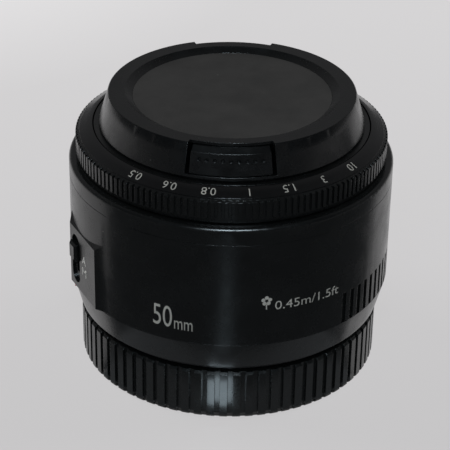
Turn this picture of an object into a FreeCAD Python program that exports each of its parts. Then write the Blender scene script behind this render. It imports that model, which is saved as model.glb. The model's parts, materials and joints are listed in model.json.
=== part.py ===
import FreeCAD, Part
import math
import os

# Prime lens with autofocus, 50 mm f/1.8, standing on its rear cap.
# Millimetres. The optical axis is Z, z = 0 is the bottom of the rear cap,
# and -Y is the side with the focal length on it.

Vector = FreeCAD.Vector
CENTRE = Vector(0, 0, 0)
UP = Vector(0, 0, 1)

# General clearances
RUN = 0.1            # between pieces that turn or slide on each other
SEAT = 0.03          # radial gap round a piece that is fixed in a bore
LAYER_GAP = 0.1      # between thin parts stacked along the axis
OVERCUT = 1.0        # how far a cutting shape reaches past what it cuts
OVERLAP = 0.2        # how far shapes that are joined reach into each other

# Main heights
FLANGE_Z = 12.0      # seating face of the bayonet mount
LENS_LENGTH = 41.0   # seating face to the front of the filter ring
FRONT_Z = FLANGE_Z + LENS_LENGTH
FRONT = -90.0        # azimuths of the two sides
BACK = 90.0

# Outer barrel
BARREL_R = 34.1
BARREL_WALL = 2.1
BARREL_IN_R = BARREL_R - BARREL_WALL
BARREL_TAPER = 1.6
BARREL_FOOT_R = BARREL_R - BARREL_TAPER
SHELL_BOTTOM_Z = 13.05
SHELL_TOP_Z = 19.25
COLLAR_BOTTOM_Z = 42.55
COLLAR_TOP_Z = 46.2
COLLAR_ROUND = 0.9
SEAM = 0.1
SPIGOT_WALL = 0.9
SPIGOT_HEIGHT = 1.35
SHELL_LIP_WIDTH = 2.6
SHELL_LIP_IN_R = BARREL_FOOT_R - SHELL_LIP_WIDTH
SHELL_LIP_THICK = 0.55
SHELL_STEP_HEIGHT = 1.2
SHELL_FOOT_WALL = 1.2
SHELL_STEP_R = BARREL_FOOT_R - SHELL_FOOT_WALL

# Grip grooves on the right-hand side of the barrel, just above the lower seam
GROOVE_PITCH = 4.0
GROOVE_COUNT = 23
GROOVE_START = -44.0
GROOVE_WIDTH = 1.1
GROOVE_DEPTH = 0.5
GROOVE_TOP_Z = 26.4

# Flat platform of the focus-mode switch, left of the front
PANEL_ANGLE = 63.0
PANEL_PROUD = 0.2
PANEL_DISTANCE = BARREL_R + PANEL_PROUD
PANEL_HALF_WIDTH = 6.55
PANEL_TOP_Z = 33.4
PANEL_BURIED = 1.5
PANEL_BASE_DISTANCE = BARREL_R - PANEL_BURIED
PANEL_SLOPE = 1.42
SLOT_OFFSET = -3.5
SLOT_WIDTH = 3.9
SLOT_LOW_Z = 20.6
SLOT_HIGH_Z = 31.9
SLOT_DEPTH = 0.6
SLIT_WIDTH = 1.8
KNOB_Z = 28.2
KNOB_TRAVEL = 4.0
KNOB_WIDTH = 3.1
KNOB_HEIGHT = 3.9
KNOB_PROUD = 1.0
KNOB_CHAMFER = 0.45
STEM_WIDTH = 1.4
STEM_HEIGHT = 2.4
KNOB_PLATE_WIDTH = 4.4
KNOB_PLATE_HEIGHT = 5.6
KNOB_PLATE_THICK = 0.8
KNOB_PLATE_GAP = 0.8
KNOB_PLATE_DISTANCE = BARREL_IN_R - KNOB_PLATE_GAP

# Mount index: a red dot with a short slit beside it
DOT_ANGLE = 81.0
DOT_Z = 16.3
DOT_R = 1.1
DOT_PROUD = 0.35
DOT_DEPTH = 1.1
SLIT_ANGLE = 75.0
SLIT_MARK_WIDTH = 1.1
SLIT_MARK_DEPTH = 0.6
SLIT_MARK_LOW_Z = 13.8
SLIT_MARK_HEIGHT = 4.65

# Bayonet mount
MOUNT_STEP = 1.1
MOUNT_R = BARREL_FOOT_R - MOUNT_STEP
MOUNT_BORE_R = 23.0
BAYONET_WALL = 2.2
BAYONET_R = MOUNT_BORE_R + BAYONET_WALL
BAYONET_DROP = 6.0
LUG_PROUD = 1.7
LUG_R = BAYONET_R + LUG_PROUD
LUG_TOP_DROP = 2.8
LUG_THICK = 1.6
LUG_COUNT = 3
LUG_SPAN = 48.0
LUG_START = 30.0
MOUNT_SCREW_COUNT = 4
MOUNT_SCREW_START = 45.0
MOUNT_SCREW_RING_R = (BAYONET_R + MOUNT_R) / 2
MOUNT_SCREW_R = 0.85
MOUNT_SCREW_HEAD_R = 1.5
MOUNT_SCREW_HEAD_HEIGHT = 0.65
MOUNT_SCREW_LENGTH = 2.45

# Electrical contacts in the mount
CONTACT_ANGLE = 150.0
CONTACT_HALF_SPAN = 28.0
CONTACT_BLOCK_WIDTH = 4.2
CONTACT_BLOCK_IN_R = MOUNT_BORE_R - CONTACT_BLOCK_WIDTH
CONTACT_BOTTOM_DROP = 6.6
CONTACT_TOP_DROP = 0.3
CONTACT_COUNT = 7
CONTACT_PITCH = 7.4
CONTACT_R = 0.75
CONTACT_PROUD = 0.25
CONTACT_DEPTH = 0.8
CONTACT_SCREW_R = 0.6
CONTACT_SCREW_LENGTH = 3.4
CONTACT_SCREW_SPREAD = 18.0
CONTACT_SCREW_DROP = 1.6

# Light baffle in the mount
BAFFLE_IN_R = 14.0
BAFFLE_DROP = 4.6
BAFFLE_THICK = 0.8
BAFFLE_RIM = 0.75
BAFFLE_NOTCH_MARGIN = 2.0
BAFFLE_NOTCH_GAP = 0.4
BAFFLE_NOTCH_R = CONTACT_BLOCK_IN_R - BAFFLE_NOTCH_GAP

# Rear cap
REAR_CAP_HEIGHT = 11.1
REAR_CAP_STEP = 2.0
REAR_CAP_RIDGE_R = BARREL_R - REAR_CAP_STEP
REAR_CAP_RIB_DEPTH = 0.7
REAR_CAP_FLOOR_R = REAR_CAP_RIDGE_R - REAR_CAP_RIB_DEPTH
REAR_CAP_WALL = 1.8
REAR_CAP_IN_R = REAR_CAP_FLOOR_R - REAR_CAP_WALL
REAR_CAP_BASE = 1.5
REAR_CAP_RIBS = 75
REAR_CAP_RIDGE_SHARE = 0.6
REAR_CAP_CHAMFER = 0.5
CAP_TAB_GAP = 0.4
CAP_TAB_IN_R = BAYONET_R + CAP_TAB_GAP
CAP_TAB_THICK = 1.4

# Fixed guide tube and its base flange
GUIDE_IN_R = 21.6
GUIDE_WALL = 1.2
GUIDE_OUT_R = GUIDE_IN_R + GUIDE_WALL
GUIDE_TOP_Z = 46.1
BASE_FLANGE_Z = SHELL_BOTTOM_Z + SHELL_LIP_THICK
BASE_FLANGE_THICK = 1.0
BASE_FLANGE_TOP_Z = BASE_FLANGE_Z + BASE_FLANGE_THICK
BASE_FLANGE_R = SHELL_STEP_R - RUN

# Focusing: three pins climb in helical slots
FOCUS_THROW = 100.0
FOCUS_LIFT = 7.5
PIN_COUNT = 3
PIN_START = 10.0
PIN_R = 1.0
PIN_Z = 22.0
PIN_SLOT_CLEARANCE = 0.12
PIN_SLOT_END = 0.3
PIN_ROOT_R = 20.0

# Cam ring
CAM_WALL = 1.2
CAM_IN_R = GUIDE_OUT_R + RUN
CAM_OUT_R = CAM_IN_R + CAM_WALL
CAM_BOTTOM_Z = BASE_FLANGE_TOP_Z + 0.2
CAM_FLANGE_GAP = 1.6
CAM_FLANGE_R = BARREL_IN_R - CAM_FLANGE_GAP
CAM_FLANGE_THICK = 1.4
CAM_TOP_Z = 45.4
RETAINER_THICK = 0.6
RETAINER_OVERHANG = 0.6
RETAINER_OUT_R = CAM_OUT_R + RETAINER_OVERHANG

# Focus ring and name ring
GRIP_STEP = 1.5
GRIP_R = BARREL_R - GRIP_STEP
GRIP_RIB_DEPTH = 0.45
GRIP_FLOOR_R = GRIP_R - GRIP_RIB_DEPTH
GRIP_TIP_SLOPE = 0.53
GRIP_BOTTOM_Z = 47.5
GRIP_TOP_Z = 51.6
GRIP_TOP_STEP = 0.76
GRIP_TOP_R = GRIP_R - GRIP_TOP_STEP
GRIP_RIBS = 150
GRIP_RIDGE_SHARE = 0.55
RING_BAND_Z = 46.5
SKIRT_R = BARREL_IN_R - 3 * RUN
SKIRT_WALL = 1.1
SKIRT_BOTTOM_Z = 42.0
RING_LIP_THICK = 1.2
NAME_RING_TOP_Z = 53.1
NAME_RING_WIDTH = 2.79
NAME_RING_IN_R = GRIP_TOP_R - NAME_RING_WIDTH
RING_BORE_STEP = 0.15
RING_BORE_R = NAME_RING_IN_R + RING_BORE_STEP
RING_LIP_WIDTH = 1.6
RING_LIP_IN_R = RING_BORE_R - RING_LIP_WIDTH
NAME_RING_EDGE = 0.15
RING_SCREW_COUNT = 3
RING_SCREW_START = 75.0
RING_SCREW_INSET = 1.45
RING_SCREW_RING_R = RING_LIP_IN_R + RING_SCREW_INSET
RING_SCREW_R = 0.6
RING_SCREW_HEAD_R = 1.0
RING_SCREW_HEAD_HEIGHT = 0.5
RING_SCREW_LENGTH = 2.3

# Inner barrel of the lens head
HEAD_R = GUIDE_IN_R - RUN
HEAD_BORE_LOW_R = 19.0
HEAD_BORE_MID_R = 20.0
HEAD_BORE_TOP_R = 20.5
HEAD_BOTTOM_Z = 18.5
HEAD_LOW_STEP_Z = 29.9
HEAD_TOP_STEP_Z = 43.6
HEAD_FLANGE_Z = 46.75
HEAD_FLANGE_THICK = 1.0

# Filter ring with its thread
FILTER_GAP = 0.25
FILTER_R = NAME_RING_IN_R - FILTER_GAP
FILTER_WALL = 2.8
THREAD_DEPTH = 0.4
THREAD_MAJOR_R = FILTER_R - FILTER_WALL
THREAD_MINOR_R = THREAD_MAJOR_R - THREAD_DEPTH
THREAD_FLANK = 0.8
HEAD_FLANGE_STEP = 0.5
HEAD_FLANGE_R = FILTER_R - HEAD_FLANGE_STEP
THREAD_PITCH = 0.75
THREAD_TURNS = 5
THREAD_TOP_DROP = 0.7
FILTER_MOUTH_STEP = 0.3
FILTER_MOUTH_R = THREAD_MAJOR_R + FILTER_MOUTH_STEP
FILTER_LIP_WIDTH = 2.0
FILTER_LIP_IN_R = THREAD_MINOR_R - FILTER_LIP_WIDTH
FILTER_LIP_THICK = 0.8
FILTER_BOTTOM_Z = HEAD_FLANGE_Z + HEAD_FLANGE_THICK
FILTER_SCREW_COUNT = 3
FILTER_SCREW_START = 20.0
FILTER_SCREW_INSET = 1.0
FILTER_SCREW_RING_R = FILTER_LIP_IN_R + FILTER_SCREW_INSET
FILTER_SCREW_R = 0.5
FILTER_SCREW_HEAD_R = 0.8
FILTER_SCREW_HEAD_HEIGHT = 0.4
FILTER_SCREW_LENGTH = 1.7

# Conical front ring round the front element
FRONT_RING_R = THREAD_MINOR_R - RUN
FRONT_RING_TOP_Z = 51.0
FRONT_RING_IN_R = 14.3
FRONT_RING_IN_Z = 46.6
FRONT_RING_THICK = 0.9
FRONT_RING_LAND = 0.5
FRONT_RING_SKIRT_IN_R = 19.0
FRONT_STEPS = 6
FRONT_STEP_DEPTH = 0.25
FRONT_STEP_WIDTH = 0.45

# Glass: radius of the element, height of its front vertex, thickness on the
# axis, and the radii of its two surfaces (positive bulges to the front)
FRONT_GLASS = {"r": 14.5, "z": 47.2, "t": 4.0, "front": 36.0, "rear": 140.0}
SECOND_GLASS = {"r": 12.6, "z": 42.9, "t": 3.6, "front": 24.0, "rear": 60.0}
THIRD_GLASS = {"r": 11.8, "z": 38.9, "t": 1.3, "front": 70.0, "rear": 19.0, "rear_clear": 9.8}
FOURTH_GLASS = {"r": 10.6, "z": 27.0, "t": 1.2, "front": -18.0, "rear": 80.0, "front_clear": 9.3}
FIFTH_GLASS = {"r": 10.6, "z": 25.8, "t": 4.6, "front": 80.0, "rear": -25.0}
SIXTH_GLASS = {"r": 11.0, "z": 20.8, "t": 3.4, "front": 90.0, "rear": -48.0}
GLASS_GAP = 0.03

# Front cell
FRONT_CELL_NECK_R = 13.4
FRONT_CELL_BODY_R = 16.2
FRONT_CELL_NECK_TOP_Z = 39.6
FRONT_CELL_FLANGE_THICK = 1.15
FRONT_CELL_TOP_Z = 45.6
FRONT_CELL_TOP_R = 16.6
FRONT_CELL_LIP_IN_R = 10.3
FRONT_CELL_LIP_THICK = 0.4
RETAINING_RING_WALL = 1.2
SPACER_WALL = 1.0

# Rear cell
REAR_CELL_R = 12.4
REAR_CELL_BOTTOM_Z = 16.6
REAR_CELL_FLANGE_THICK = 1.0
REAR_CELL_LIP_IN_R = 9.6
REAR_CELL_NECK = 0.9
REAR_RETAINER_WALL = 1.0
REAR_SPACER_WALL = 0.8

# Iris diaphragm
IRIS_R = HEAD_BORE_MID_R - 0.05
IRIS_BASE_Z = HEAD_LOW_STEP_Z + REAR_CELL_FLANGE_THICK + LAYER_GAP
IRIS_BASE_THICK = 0.8
IRIS_OPEN_R = 12.2
BLADE_COUNT = 5
BLADE_THICK = 0.1
BLADE_PITCH = BLADE_THICK + LAYER_GAP
BLADE_IN_R = 12.35
BLADE_OUT_R = 16.6
BLADE_SPAN = 96.0
BLADE_HEEL = 9.0
BLADE_PIVOT_R = 17.9
BLADE_PIVOT_PIN_R = 0.4
BLADE_DRIVE_PIN_R = 0.35
BLADE_LEVER = 2.0
BLADE_EAR_R = 0.8
BLADE_TURN = 35.0
IRIS_TURN = 26.0
IRIS_PIN_CLEARANCE = 0.08
IRIS_SLOT_STEPS = 6
IRIS_SHAFT_REACH = 1.0
IRIS_SLOT_MARGIN = 0.02
DRIVE_RING_THICK = 0.6
DRIVE_RING_IN_R = 17.0
COVER_THICK = 0.6
COVER_IN_R = 12.8

# Small gears, all with the same tooth form
PRESSURE_ANGLE = 20.0
ADDENDUM = 0.8
DEDENDUM = 1.1
TOOTH_SHARE = 0.9
FINE_MODULE = 0.3
IRIS_RING_TEETH = 115
IRIS_PINION_TEETH = 10
IRIS_PINION_ANGLE = -20.0
IRIS_MOTOR_R = 2.0
IRIS_MOTOR_HEIGHT = 5.0
SMALL_SHAFT_R = 0.35

# Focus drive
RING_GEAR_MODULE = 0.5
RING_GEAR_TEETH = 100
RING_GEAR_MARGIN_TEETH = 2
DRIVE_PINION_TEETH = 12
WHEEL_TEETH = 20
PINION_TEETH = 10
GEAR_2_ANGLE = 70.0
GEAR_1_RADIUS = 28.4
MOTOR_RADIUS = 28.7
GEAR_SHAFT_R = 0.4
GEAR_BORE_CLEARANCE = 0.05
GEAR_HUB_R = 0.85
LEVEL_A_THICK = 1.8
LEVEL_B_THICK = 1.2
LEVEL_C_THICK = 1.2
LEVEL_GAP = 0.4
BRACKET_THICK = 1.0
BRACKET_IN_R = 25.8
BRACKET_GAP = 0.5
BRACKET_OUT_R = BARREL_IN_R - BRACKET_GAP
BRACKET_LEG_R = 1.25
BRACKET_LEG_RING_R = 28.5
BRACKET_LEG_STEP = 11.0
BRACKET_END = 14.0
BRACKET_SCREW_R = 0.55
BRACKET_SCREW_HEAD_R = 1.1
BRACKET_SCREW_HEAD_HEIGHT = 0.7
MOTOR_R = 3.0
MOTOR_HEIGHT = 12.0
MOTOR_NOSE_R = 1.2
MOTOR_SHAFT_REACH = 1.5

# Circuit board
BOARD_GAP = 1.0
BOARD_WIDTH = 5.1
BOARD_OUT_R = BARREL_IN_R - BOARD_GAP
BOARD_IN_R = BOARD_OUT_R - BOARD_WIDTH
BOARD_START = 130.0
BOARD_SPAN = 200.0
BOARD_Z = 17.6
BOARD_THICK = 0.8
BOARD_POST_R = 1.0
BOARD_POSTS = 3
CHIP_COUNT = 4
CHIP_LENGTH = 6.0
CHIP_WIDTH = 3.2
CHIP_HEIGHT = 0.9

# Front cap
CAP_GAP = 0.1
CAP_RIM_STEP = 1.1
CAP_RIM_R = FILTER_R - CAP_RIM_STEP
CAP_RIM_HEIGHT = 0.4
CAP_TAPER = 1.95
CAP_SHOULDER_R = CAP_RIM_R - CAP_TAPER
CAP_TOP_Z = 60.06
CAP_EDGE = 0.15
CAP_LIP_WIDTH = 3.45
CAP_LIP_R = CAP_SHOULDER_R - CAP_LIP_WIDTH
CAP_LIP_ROUND = 0.2
CAP_SLOPE_WIDTH = 1.6
CAP_FACE_R = CAP_LIP_R - CAP_SLOPE_WIDTH
CAP_FACE_Z = 59.1
CAP_PLATE_THICK = 0.9
CAP_ROOF_THICK = 0.8
CAP_SPIGOT_GAP = 0.3
CAP_SPIGOT_WALL = 1.0
CAP_SPIGOT_R = THREAD_MINOR_R - CAP_SPIGOT_GAP
CAP_CAVITY_R = CAP_SPIGOT_R - CAP_SPIGOT_WALL
CAP_SPIGOT_DROP = 1.6
CAP_BACK_PLATE_THICK = 0.8
CAP_BACK_PLATE_LIFT = 0.9
CAP_HUB_LENGTH = 3.0
CAP_HUB_WIDTH = 6.0

# Pinch latches of the front cap
LATCH_HALF_ANGLE = 17.5
LATCH_SIDE_GAP = 1.8
LATCH_TRAVEL = 1.2
LATCH_LIP_THICK = 0.66
LATCH_WINDOW_DEPTH = 1.25
LATCH_WALL_STEP = 0.5
LATCH_BEVEL_STEP = 0.35
LATCH_WINDOW_R = CAP_SHOULDER_R - LATCH_WINDOW_DEPTH
LATCH_WALL_IN_R = LATCH_WINDOW_R - LATCH_WALL_STEP
LATCH_BEVEL_R = LATCH_WINDOW_R + LATCH_BEVEL_STEP
LATCH_BEVEL_DROP = 0.9
LATCH_SURFACE_GAP = 0.1
LATCH_FOOT_WALL = 0.8
LATCH_FOOT_IN_R = CAP_SPIGOT_R - LATCH_FOOT_WALL
LATCH_FOOT_HALF_ANGLE = 14.0
LATCH_FOOT_CLEARANCE = 0.5
LATCH_TOOTH_GAP = 0.1
LATCH_TONGUE_HALF_WIDTH = 5.0
LATCH_TONGUE_END = 10.5
LATCH_DOT_COUNT = 9
LATCH_DOT_PITCH = 3.4
LATCH_DOT_R = 0.35
LATCH_DOT_DEPTH = 0.4
LATCH_DOT_RISE = 0.8
SPRING_R = 0.85
SPRING_WIRE_R = 0.15
SPRING_TURNS = 7


# Helpers

def revolve(points):
    """Solid of revolution about Z from an outline of (radius, height) points."""
    corners = [Vector(r, 0, z) for r, z in points]
    return Part.Face(Part.makePolygon(corners + corners[:1])).revolve(CENTRE, UP, 360)


def tube(inner_r, outer_r, low_z, high_z):
    return revolve([(inner_r, low_z), (outer_r, low_z), (outer_r, high_z), (inner_r, high_z)])


def disc(radius, low_z, high_z):
    return Part.makeCylinder(radius, high_z - low_z, Vector(0, 0, low_z))


def prism(points, low_z, high_z):
    corners = [Vector(x, y, low_z) for x, y in points]
    return Part.Face(Part.makePolygon(corners + corners[:1])).extrude(Vector(0, 0, high_z - low_z))


def turned(shape, degrees):
    copy = shape.copy()
    copy.rotate(CENTRE, UP, degrees)
    return copy


def polar(radius, degrees):
    angle = math.radians(degrees)
    return radius * math.cos(angle), radius * math.sin(angle)


def post(ring_r, degrees, radius, low_z, high_z):
    """Upright cylinder whose axis stands at a polar position."""
    x, y = polar(ring_r, degrees)
    return Part.makeCylinder(radius, high_z - low_z, Vector(x, y, low_z))


def spoke(degrees, height, radius, inner_r, outer_r):
    """Cylinder that lies along a radius of the lens."""
    x, y = polar(1, degrees)
    direction = Vector(x, y, 0)
    start = direction * inner_r + Vector(0, 0, height)
    return Part.makeCylinder(radius, outer_r - inner_r, start, direction)


def wedge(start, end, low_z, high_z, reach=60.0):
    """Prism that covers the sector from one angle to another."""
    steps = max(2, math.ceil(abs(end - start) / 30.0))
    rim = [polar(reach, start + (end - start) * i / steps) for i in range(steps + 1)]
    return prism([(0, 0)] + rim, low_z, high_z)


def sector(inner_r, outer_r, start, end, low_z, high_z):
    slice_of_turn = wedge(start, end, low_z - OVERCUT, high_z + OVERCUT)
    return tube(inner_r, outer_r, low_z, high_z).common(slice_of_turn)


def group(shapes):
    return Part.makeCompound(shapes)


def spaced(count, start):
    return [start + 360.0 / count * i for i in range(count)]


def ribbed(count, floor_r, ridge_r, ridge_share, low_z, high_z):
    """Prism with straight ribs all round."""
    pitch = 360.0 / count
    half = pitch * ridge_share / 2
    outline = []
    for i in range(count):
        middle = pitch * i
        outline.append(polar(floor_r, middle - half))
        outline.append(polar(ridge_r, middle - half))
        outline.append(polar(ridge_r, middle + half))
        outline.append(polar(floor_r, middle + half))
    return prism(outline, low_z, high_z)


def screw(ring_r, degrees, shank_r, head_r, head_height, head_z, length, points_up):
    """Countersunk screw whose head is flush at head_z."""
    x, y = polar(ring_r, degrees)
    way = Vector(0, 0, 1 if points_up else -1)
    top = Vector(x, y, head_z)
    head = Part.makeCone(head_r, shank_r, head_height, top, way)
    shank = Part.makeCylinder(shank_r, length, top, way)
    return head.fuse(shank).removeSplitter()


def front_azimuth(degrees_left):
    """Azimuth of a place that is so many degrees left of the front (-Y)."""
    return FRONT - degrees_left


# Gear teeth

def involute(angle):
    return math.tan(angle) - angle


def gear_root(teeth, module):
    return module * (teeth / 2 - DEDENDUM)


def gear_outline(teeth, module, phase, first=0, last=None):
    """Outline of a spur gear. Only teeth first..last are cut if last is given."""
    pitch_r = module * teeth / 2
    base_r = pitch_r * math.cos(math.radians(PRESSURE_ANGLE))
    tip_r = pitch_r + ADDENDUM * module
    root_r = gear_root(teeth, module)
    half = TOOTH_SHARE * math.pi / (2 * teeth)
    at_pitch = half + involute(math.radians(PRESSURE_ANGLE))
    flank = []
    for radius in (root_r, max(root_r, base_r), pitch_r, tip_r):
        opening = math.acos(min(1.0, base_r / radius))
        flank.append((radius, math.degrees(at_pitch - involute(opening))))
    last = teeth - 1 if last is None else last
    outline = []
    for i in range(first, last + 1):
        middle = phase + 360.0 / teeth * i
        outline += [polar(radius, middle - angle) for radius, angle in flank]
        outline += [polar(radius, middle + angle) for radius, angle in reversed(flank)]
    return outline


def gear(teeth, module, phase, low_z, high_z):
    return prism(gear_outline(teeth, module, phase), low_z, high_z)


def direction_of(start, end):
    return math.degrees(math.atan2(end[1] - start[1], end[0] - start[0]))


def step_angle(radius_a, radius_b, distance):
    """Angle at the lens axis between two shafts that are a given distance apart."""
    cosine = (radius_a ** 2 + radius_b ** 2 - distance ** 2) / (2 * radius_a * radius_b)
    return math.degrees(math.acos(cosine))


# Lens surfaces

def surface_sag(radius, distance):
    sag = abs(radius) - math.sqrt(radius ** 2 - distance ** 2)
    return sag if radius > 0 else -sag


def front_surface(glass, distance):
    return glass["z"] - surface_sag(glass["front"], distance)


def rear_surface(glass, distance):
    return glass["z"] - glass["t"] - surface_sag(glass["rear"], distance)


def lens_element(glass):
    """Round element from two arcs, with a flat land outside each clear radius."""
    radius = glass["r"]
    front_clear = glass.get("front_clear", radius)
    rear_clear = glass.get("rear_clear", radius)

    def arc(height_at, clear):
        points = [Vector(clear * part, 0, height_at(glass, clear * part)) for part in (0, 0.5, 1)]
        return Part.Arc(*points).toShape(), points

    front_edge, front_points = arc(front_surface, front_clear)
    rear_edge, rear_points = arc(rear_surface, rear_clear)
    corners = [front_points[2]]
    if front_clear < radius:
        corners.append(Vector(radius, 0, front_points[2].z))
    corners.append(Vector(radius, 0, rear_points[2].z))
    if rear_clear < radius:
        corners.append(rear_points[2])
    edges = [front_edge, rear_edge, Part.makeLine(rear_points[0], front_points[0])]
    edges += [Part.makeLine(a, b) for a, b in zip(corners, corners[1:])]
    face = Part.Face(Part.Wire(Part.__sortEdges__(edges)))
    return face.revolve(CENTRE, UP, 360)


# Outer barrel

def shell_radius(height):
    share = (height - SHELL_BOTTOM_Z) / (SHELL_TOP_Z - SHELL_BOTTOM_Z)
    return BARREL_FOOT_R + share * (BARREL_R - BARREL_FOOT_R)


def make_rear_shell():
    step_z = BASE_FLANGE_TOP_Z + 2 * RUN
    spigot_r = BARREL_IN_R + SPIGOT_WALL
    shell = revolve([
        (SHELL_LIP_IN_R, SHELL_BOTTOM_Z),
        (BARREL_FOOT_R, SHELL_BOTTOM_Z),
        (BARREL_R, SHELL_TOP_Z),
        (spigot_r, SHELL_TOP_Z),
        (spigot_r, SHELL_TOP_Z + SPIGOT_HEIGHT),
        (BARREL_IN_R, SHELL_TOP_Z + SPIGOT_HEIGHT),
        (BARREL_IN_R, step_z),
        (SHELL_STEP_R, step_z),
        (SHELL_STEP_R, BASE_FLANGE_Z),
        (SHELL_LIP_IN_R, BASE_FLANGE_Z),
    ])
    slit_outer = shell_radius(DOT_Z)
    slit = Part.makeBox(
        SLIT_MARK_DEPTH + OVERCUT, SLIT_MARK_WIDTH, SLIT_MARK_HEIGHT,
        Vector(slit_outer - SLIT_MARK_DEPTH, -SLIT_MARK_WIDTH / 2, SLIT_MARK_LOW_Z),
    )
    shell = shell.cut(turned(slit, front_azimuth(SLIT_ANGLE)))
    return shell.cut(make_index_dot())


def make_index_dot():
    surface = shell_radius(DOT_Z)
    return spoke(front_azimuth(DOT_ANGLE), DOT_Z, DOT_R, surface - DOT_DEPTH, surface + DOT_PROUD)


def on_panel(width, height, near, far, offset, middle_z, chamfer=0.0):
    """Block on the switch platform, between two distances from the axis."""
    block = Part.makeBox(
        far - near, width, height,
        Vector(near, offset - width / 2, middle_z - height / 2),
    )
    if chamfer:
        outer = [edge for edge in block.Edges if min(v.Point.x for v in edge.Vertexes) > far - 1e-6]
        block = block.makeChamfer(chamfer, outer)
    return turned(block, front_azimuth(PANEL_ANGLE))


def stadium(width, low_z, high_z, near, far, offset):
    """Upright slot shape with round ends on the switch platform."""
    radius = width / 2
    along = Vector(1, 0, 0)
    low = Vector(near, offset, low_z + radius)
    high = Vector(near, offset, high_z - radius)
    shape = Part.makeBox(far - near, width, high.z - low.z, Vector(near, offset - radius, low.z))
    for centre in (low, high):
        shape = shape.fuse(Part.makeCylinder(radius, far - near, centre, along))
    return turned(shape.removeSplitter(), front_azimuth(PANEL_ANGLE))


def make_switch_platform():
    """Flat-topped block whose top and two sides slope back to the barrel."""
    rise = PANEL_DISTANCE - PANEL_BASE_DISTANCE
    grow = rise * PANEL_SLOPE

    def outline(distance, extra):
        side = PANEL_HALF_WIDTH + extra
        bottom = SHELL_TOP_Z + SEAM
        corners = [
            Vector(distance, -side, bottom),
            Vector(distance, side, bottom),
            Vector(distance, side, PANEL_TOP_Z + extra),
            Vector(distance, -side, PANEL_TOP_Z + extra),
        ]
        return Part.makePolygon(corners + corners[:1])

    block = Part.makeLoft([outline(PANEL_BASE_DISTANCE, grow), outline(PANEL_DISTANCE, 0)], True, True)
    return turned(block, front_azimuth(PANEL_ANGLE))


def make_main_barrel():
    low = SHELL_TOP_Z + SEAM
    high = COLLAR_BOTTOM_Z - SEAM
    counter_r = BARREL_IN_R + SPIGOT_WALL + SEAM
    barrel = tube(BARREL_IN_R, BARREL_R, low, high).fuse(make_switch_platform()).removeSplitter()
    cut_in_r = BARREL_IN_R - OVERCUT
    barrel = barrel.cut(tube(cut_in_r, counter_r, low - OVERCUT, low + SPIGOT_HEIGHT))
    barrel = barrel.cut(tube(cut_in_r, counter_r, high - SPIGOT_HEIGHT, high + OVERCUT))
    groove = Part.makeBox(
        GROOVE_DEPTH + OVERCUT, GROOVE_WIDTH, GROOVE_TOP_Z - low + OVERCUT,
        Vector(BARREL_R - GROOVE_DEPTH, -GROOVE_WIDTH / 2, low - OVERCUT),
    )
    first = front_azimuth(GROOVE_START)
    grooves = [turned(groove, first + GROOVE_PITCH * i) for i in range(GROOVE_COUNT)]
    barrel = barrel.cut(grooves)
    slot = stadium(
        SLOT_WIDTH, SLOT_LOW_Z, SLOT_HIGH_Z,
        PANEL_DISTANCE - SLOT_DEPTH, PANEL_DISTANCE + OVERCUT, SLOT_OFFSET,
    )
    slit_height = STEM_HEIGHT + KNOB_TRAVEL + 4 * RUN
    slit = on_panel(
        SLIT_WIDTH, slit_height, BARREL_IN_R - OVERCUT, PANEL_DISTANCE,
        SLOT_OFFSET, KNOB_Z - KNOB_TRAVEL / 2,
    )
    return barrel.cut([slot, slit])


def make_switch_knob():
    floor = PANEL_DISTANCE - SLOT_DEPTH + RUN
    cap = on_panel(
        KNOB_WIDTH, KNOB_HEIGHT, floor, PANEL_DISTANCE + KNOB_PROUD,
        SLOT_OFFSET, KNOB_Z, KNOB_CHAMFER,
    )
    stem = on_panel(
        STEM_WIDTH, STEM_HEIGHT, KNOB_PLATE_DISTANCE - OVERLAP, floor + OVERLAP, SLOT_OFFSET, KNOB_Z,
    )
    plate = on_panel(
        KNOB_PLATE_WIDTH, KNOB_PLATE_HEIGHT, KNOB_PLATE_DISTANCE - KNOB_PLATE_THICK,
        KNOB_PLATE_DISTANCE, SLOT_OFFSET, KNOB_Z,
    )
    return cap.fuse([stem, plate]).removeSplitter()


def make_front_collar():
    spigot_r = BARREL_IN_R + SPIGOT_WALL
    rounded = COLLAR_ROUND * (1 - math.sqrt(0.5))
    bottom = COLLAR_BOTTOM_Z - SPIGOT_HEIGHT + SEAM
    corners = [
        Vector(BARREL_R - COLLAR_ROUND, 0, COLLAR_TOP_Z),
        Vector(BARREL_IN_R, 0, COLLAR_TOP_Z),
        Vector(BARREL_IN_R, 0, bottom),
        Vector(spigot_r, 0, bottom),
        Vector(spigot_r, 0, COLLAR_BOTTOM_Z),
        Vector(BARREL_R, 0, COLLAR_BOTTOM_Z),
        Vector(BARREL_R, 0, COLLAR_TOP_Z - COLLAR_ROUND),
    ]
    shoulder = Vector(BARREL_R - rounded, 0, COLLAR_TOP_Z - rounded)
    edges = [Part.makeLine(a, b) for a, b in zip(corners, corners[1:])]
    edges.append(Part.Arc(corners[-1], shoulder, corners[0]).toShape())
    return Part.Face(Part.Wire(edges)).revolve(CENTRE, UP, 360)


# Mount

def lug_ring(inner_r, outer_r, low_z, high_z):
    first = LUG_START - LUG_SPAN / 2
    return [sector(inner_r, outer_r, a, a + LUG_SPAN, low_z, high_z) for a in spaced(LUG_COUNT, first)]


def make_mount_screws():
    return [
        screw(
            MOUNT_SCREW_RING_R, angle, MOUNT_SCREW_R, MOUNT_SCREW_HEAD_R,
            MOUNT_SCREW_HEAD_HEIGHT, FLANGE_Z, MOUNT_SCREW_LENGTH, True,
        )
        for angle in spaced(MOUNT_SCREW_COUNT, MOUNT_SCREW_START)
    ]


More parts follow.
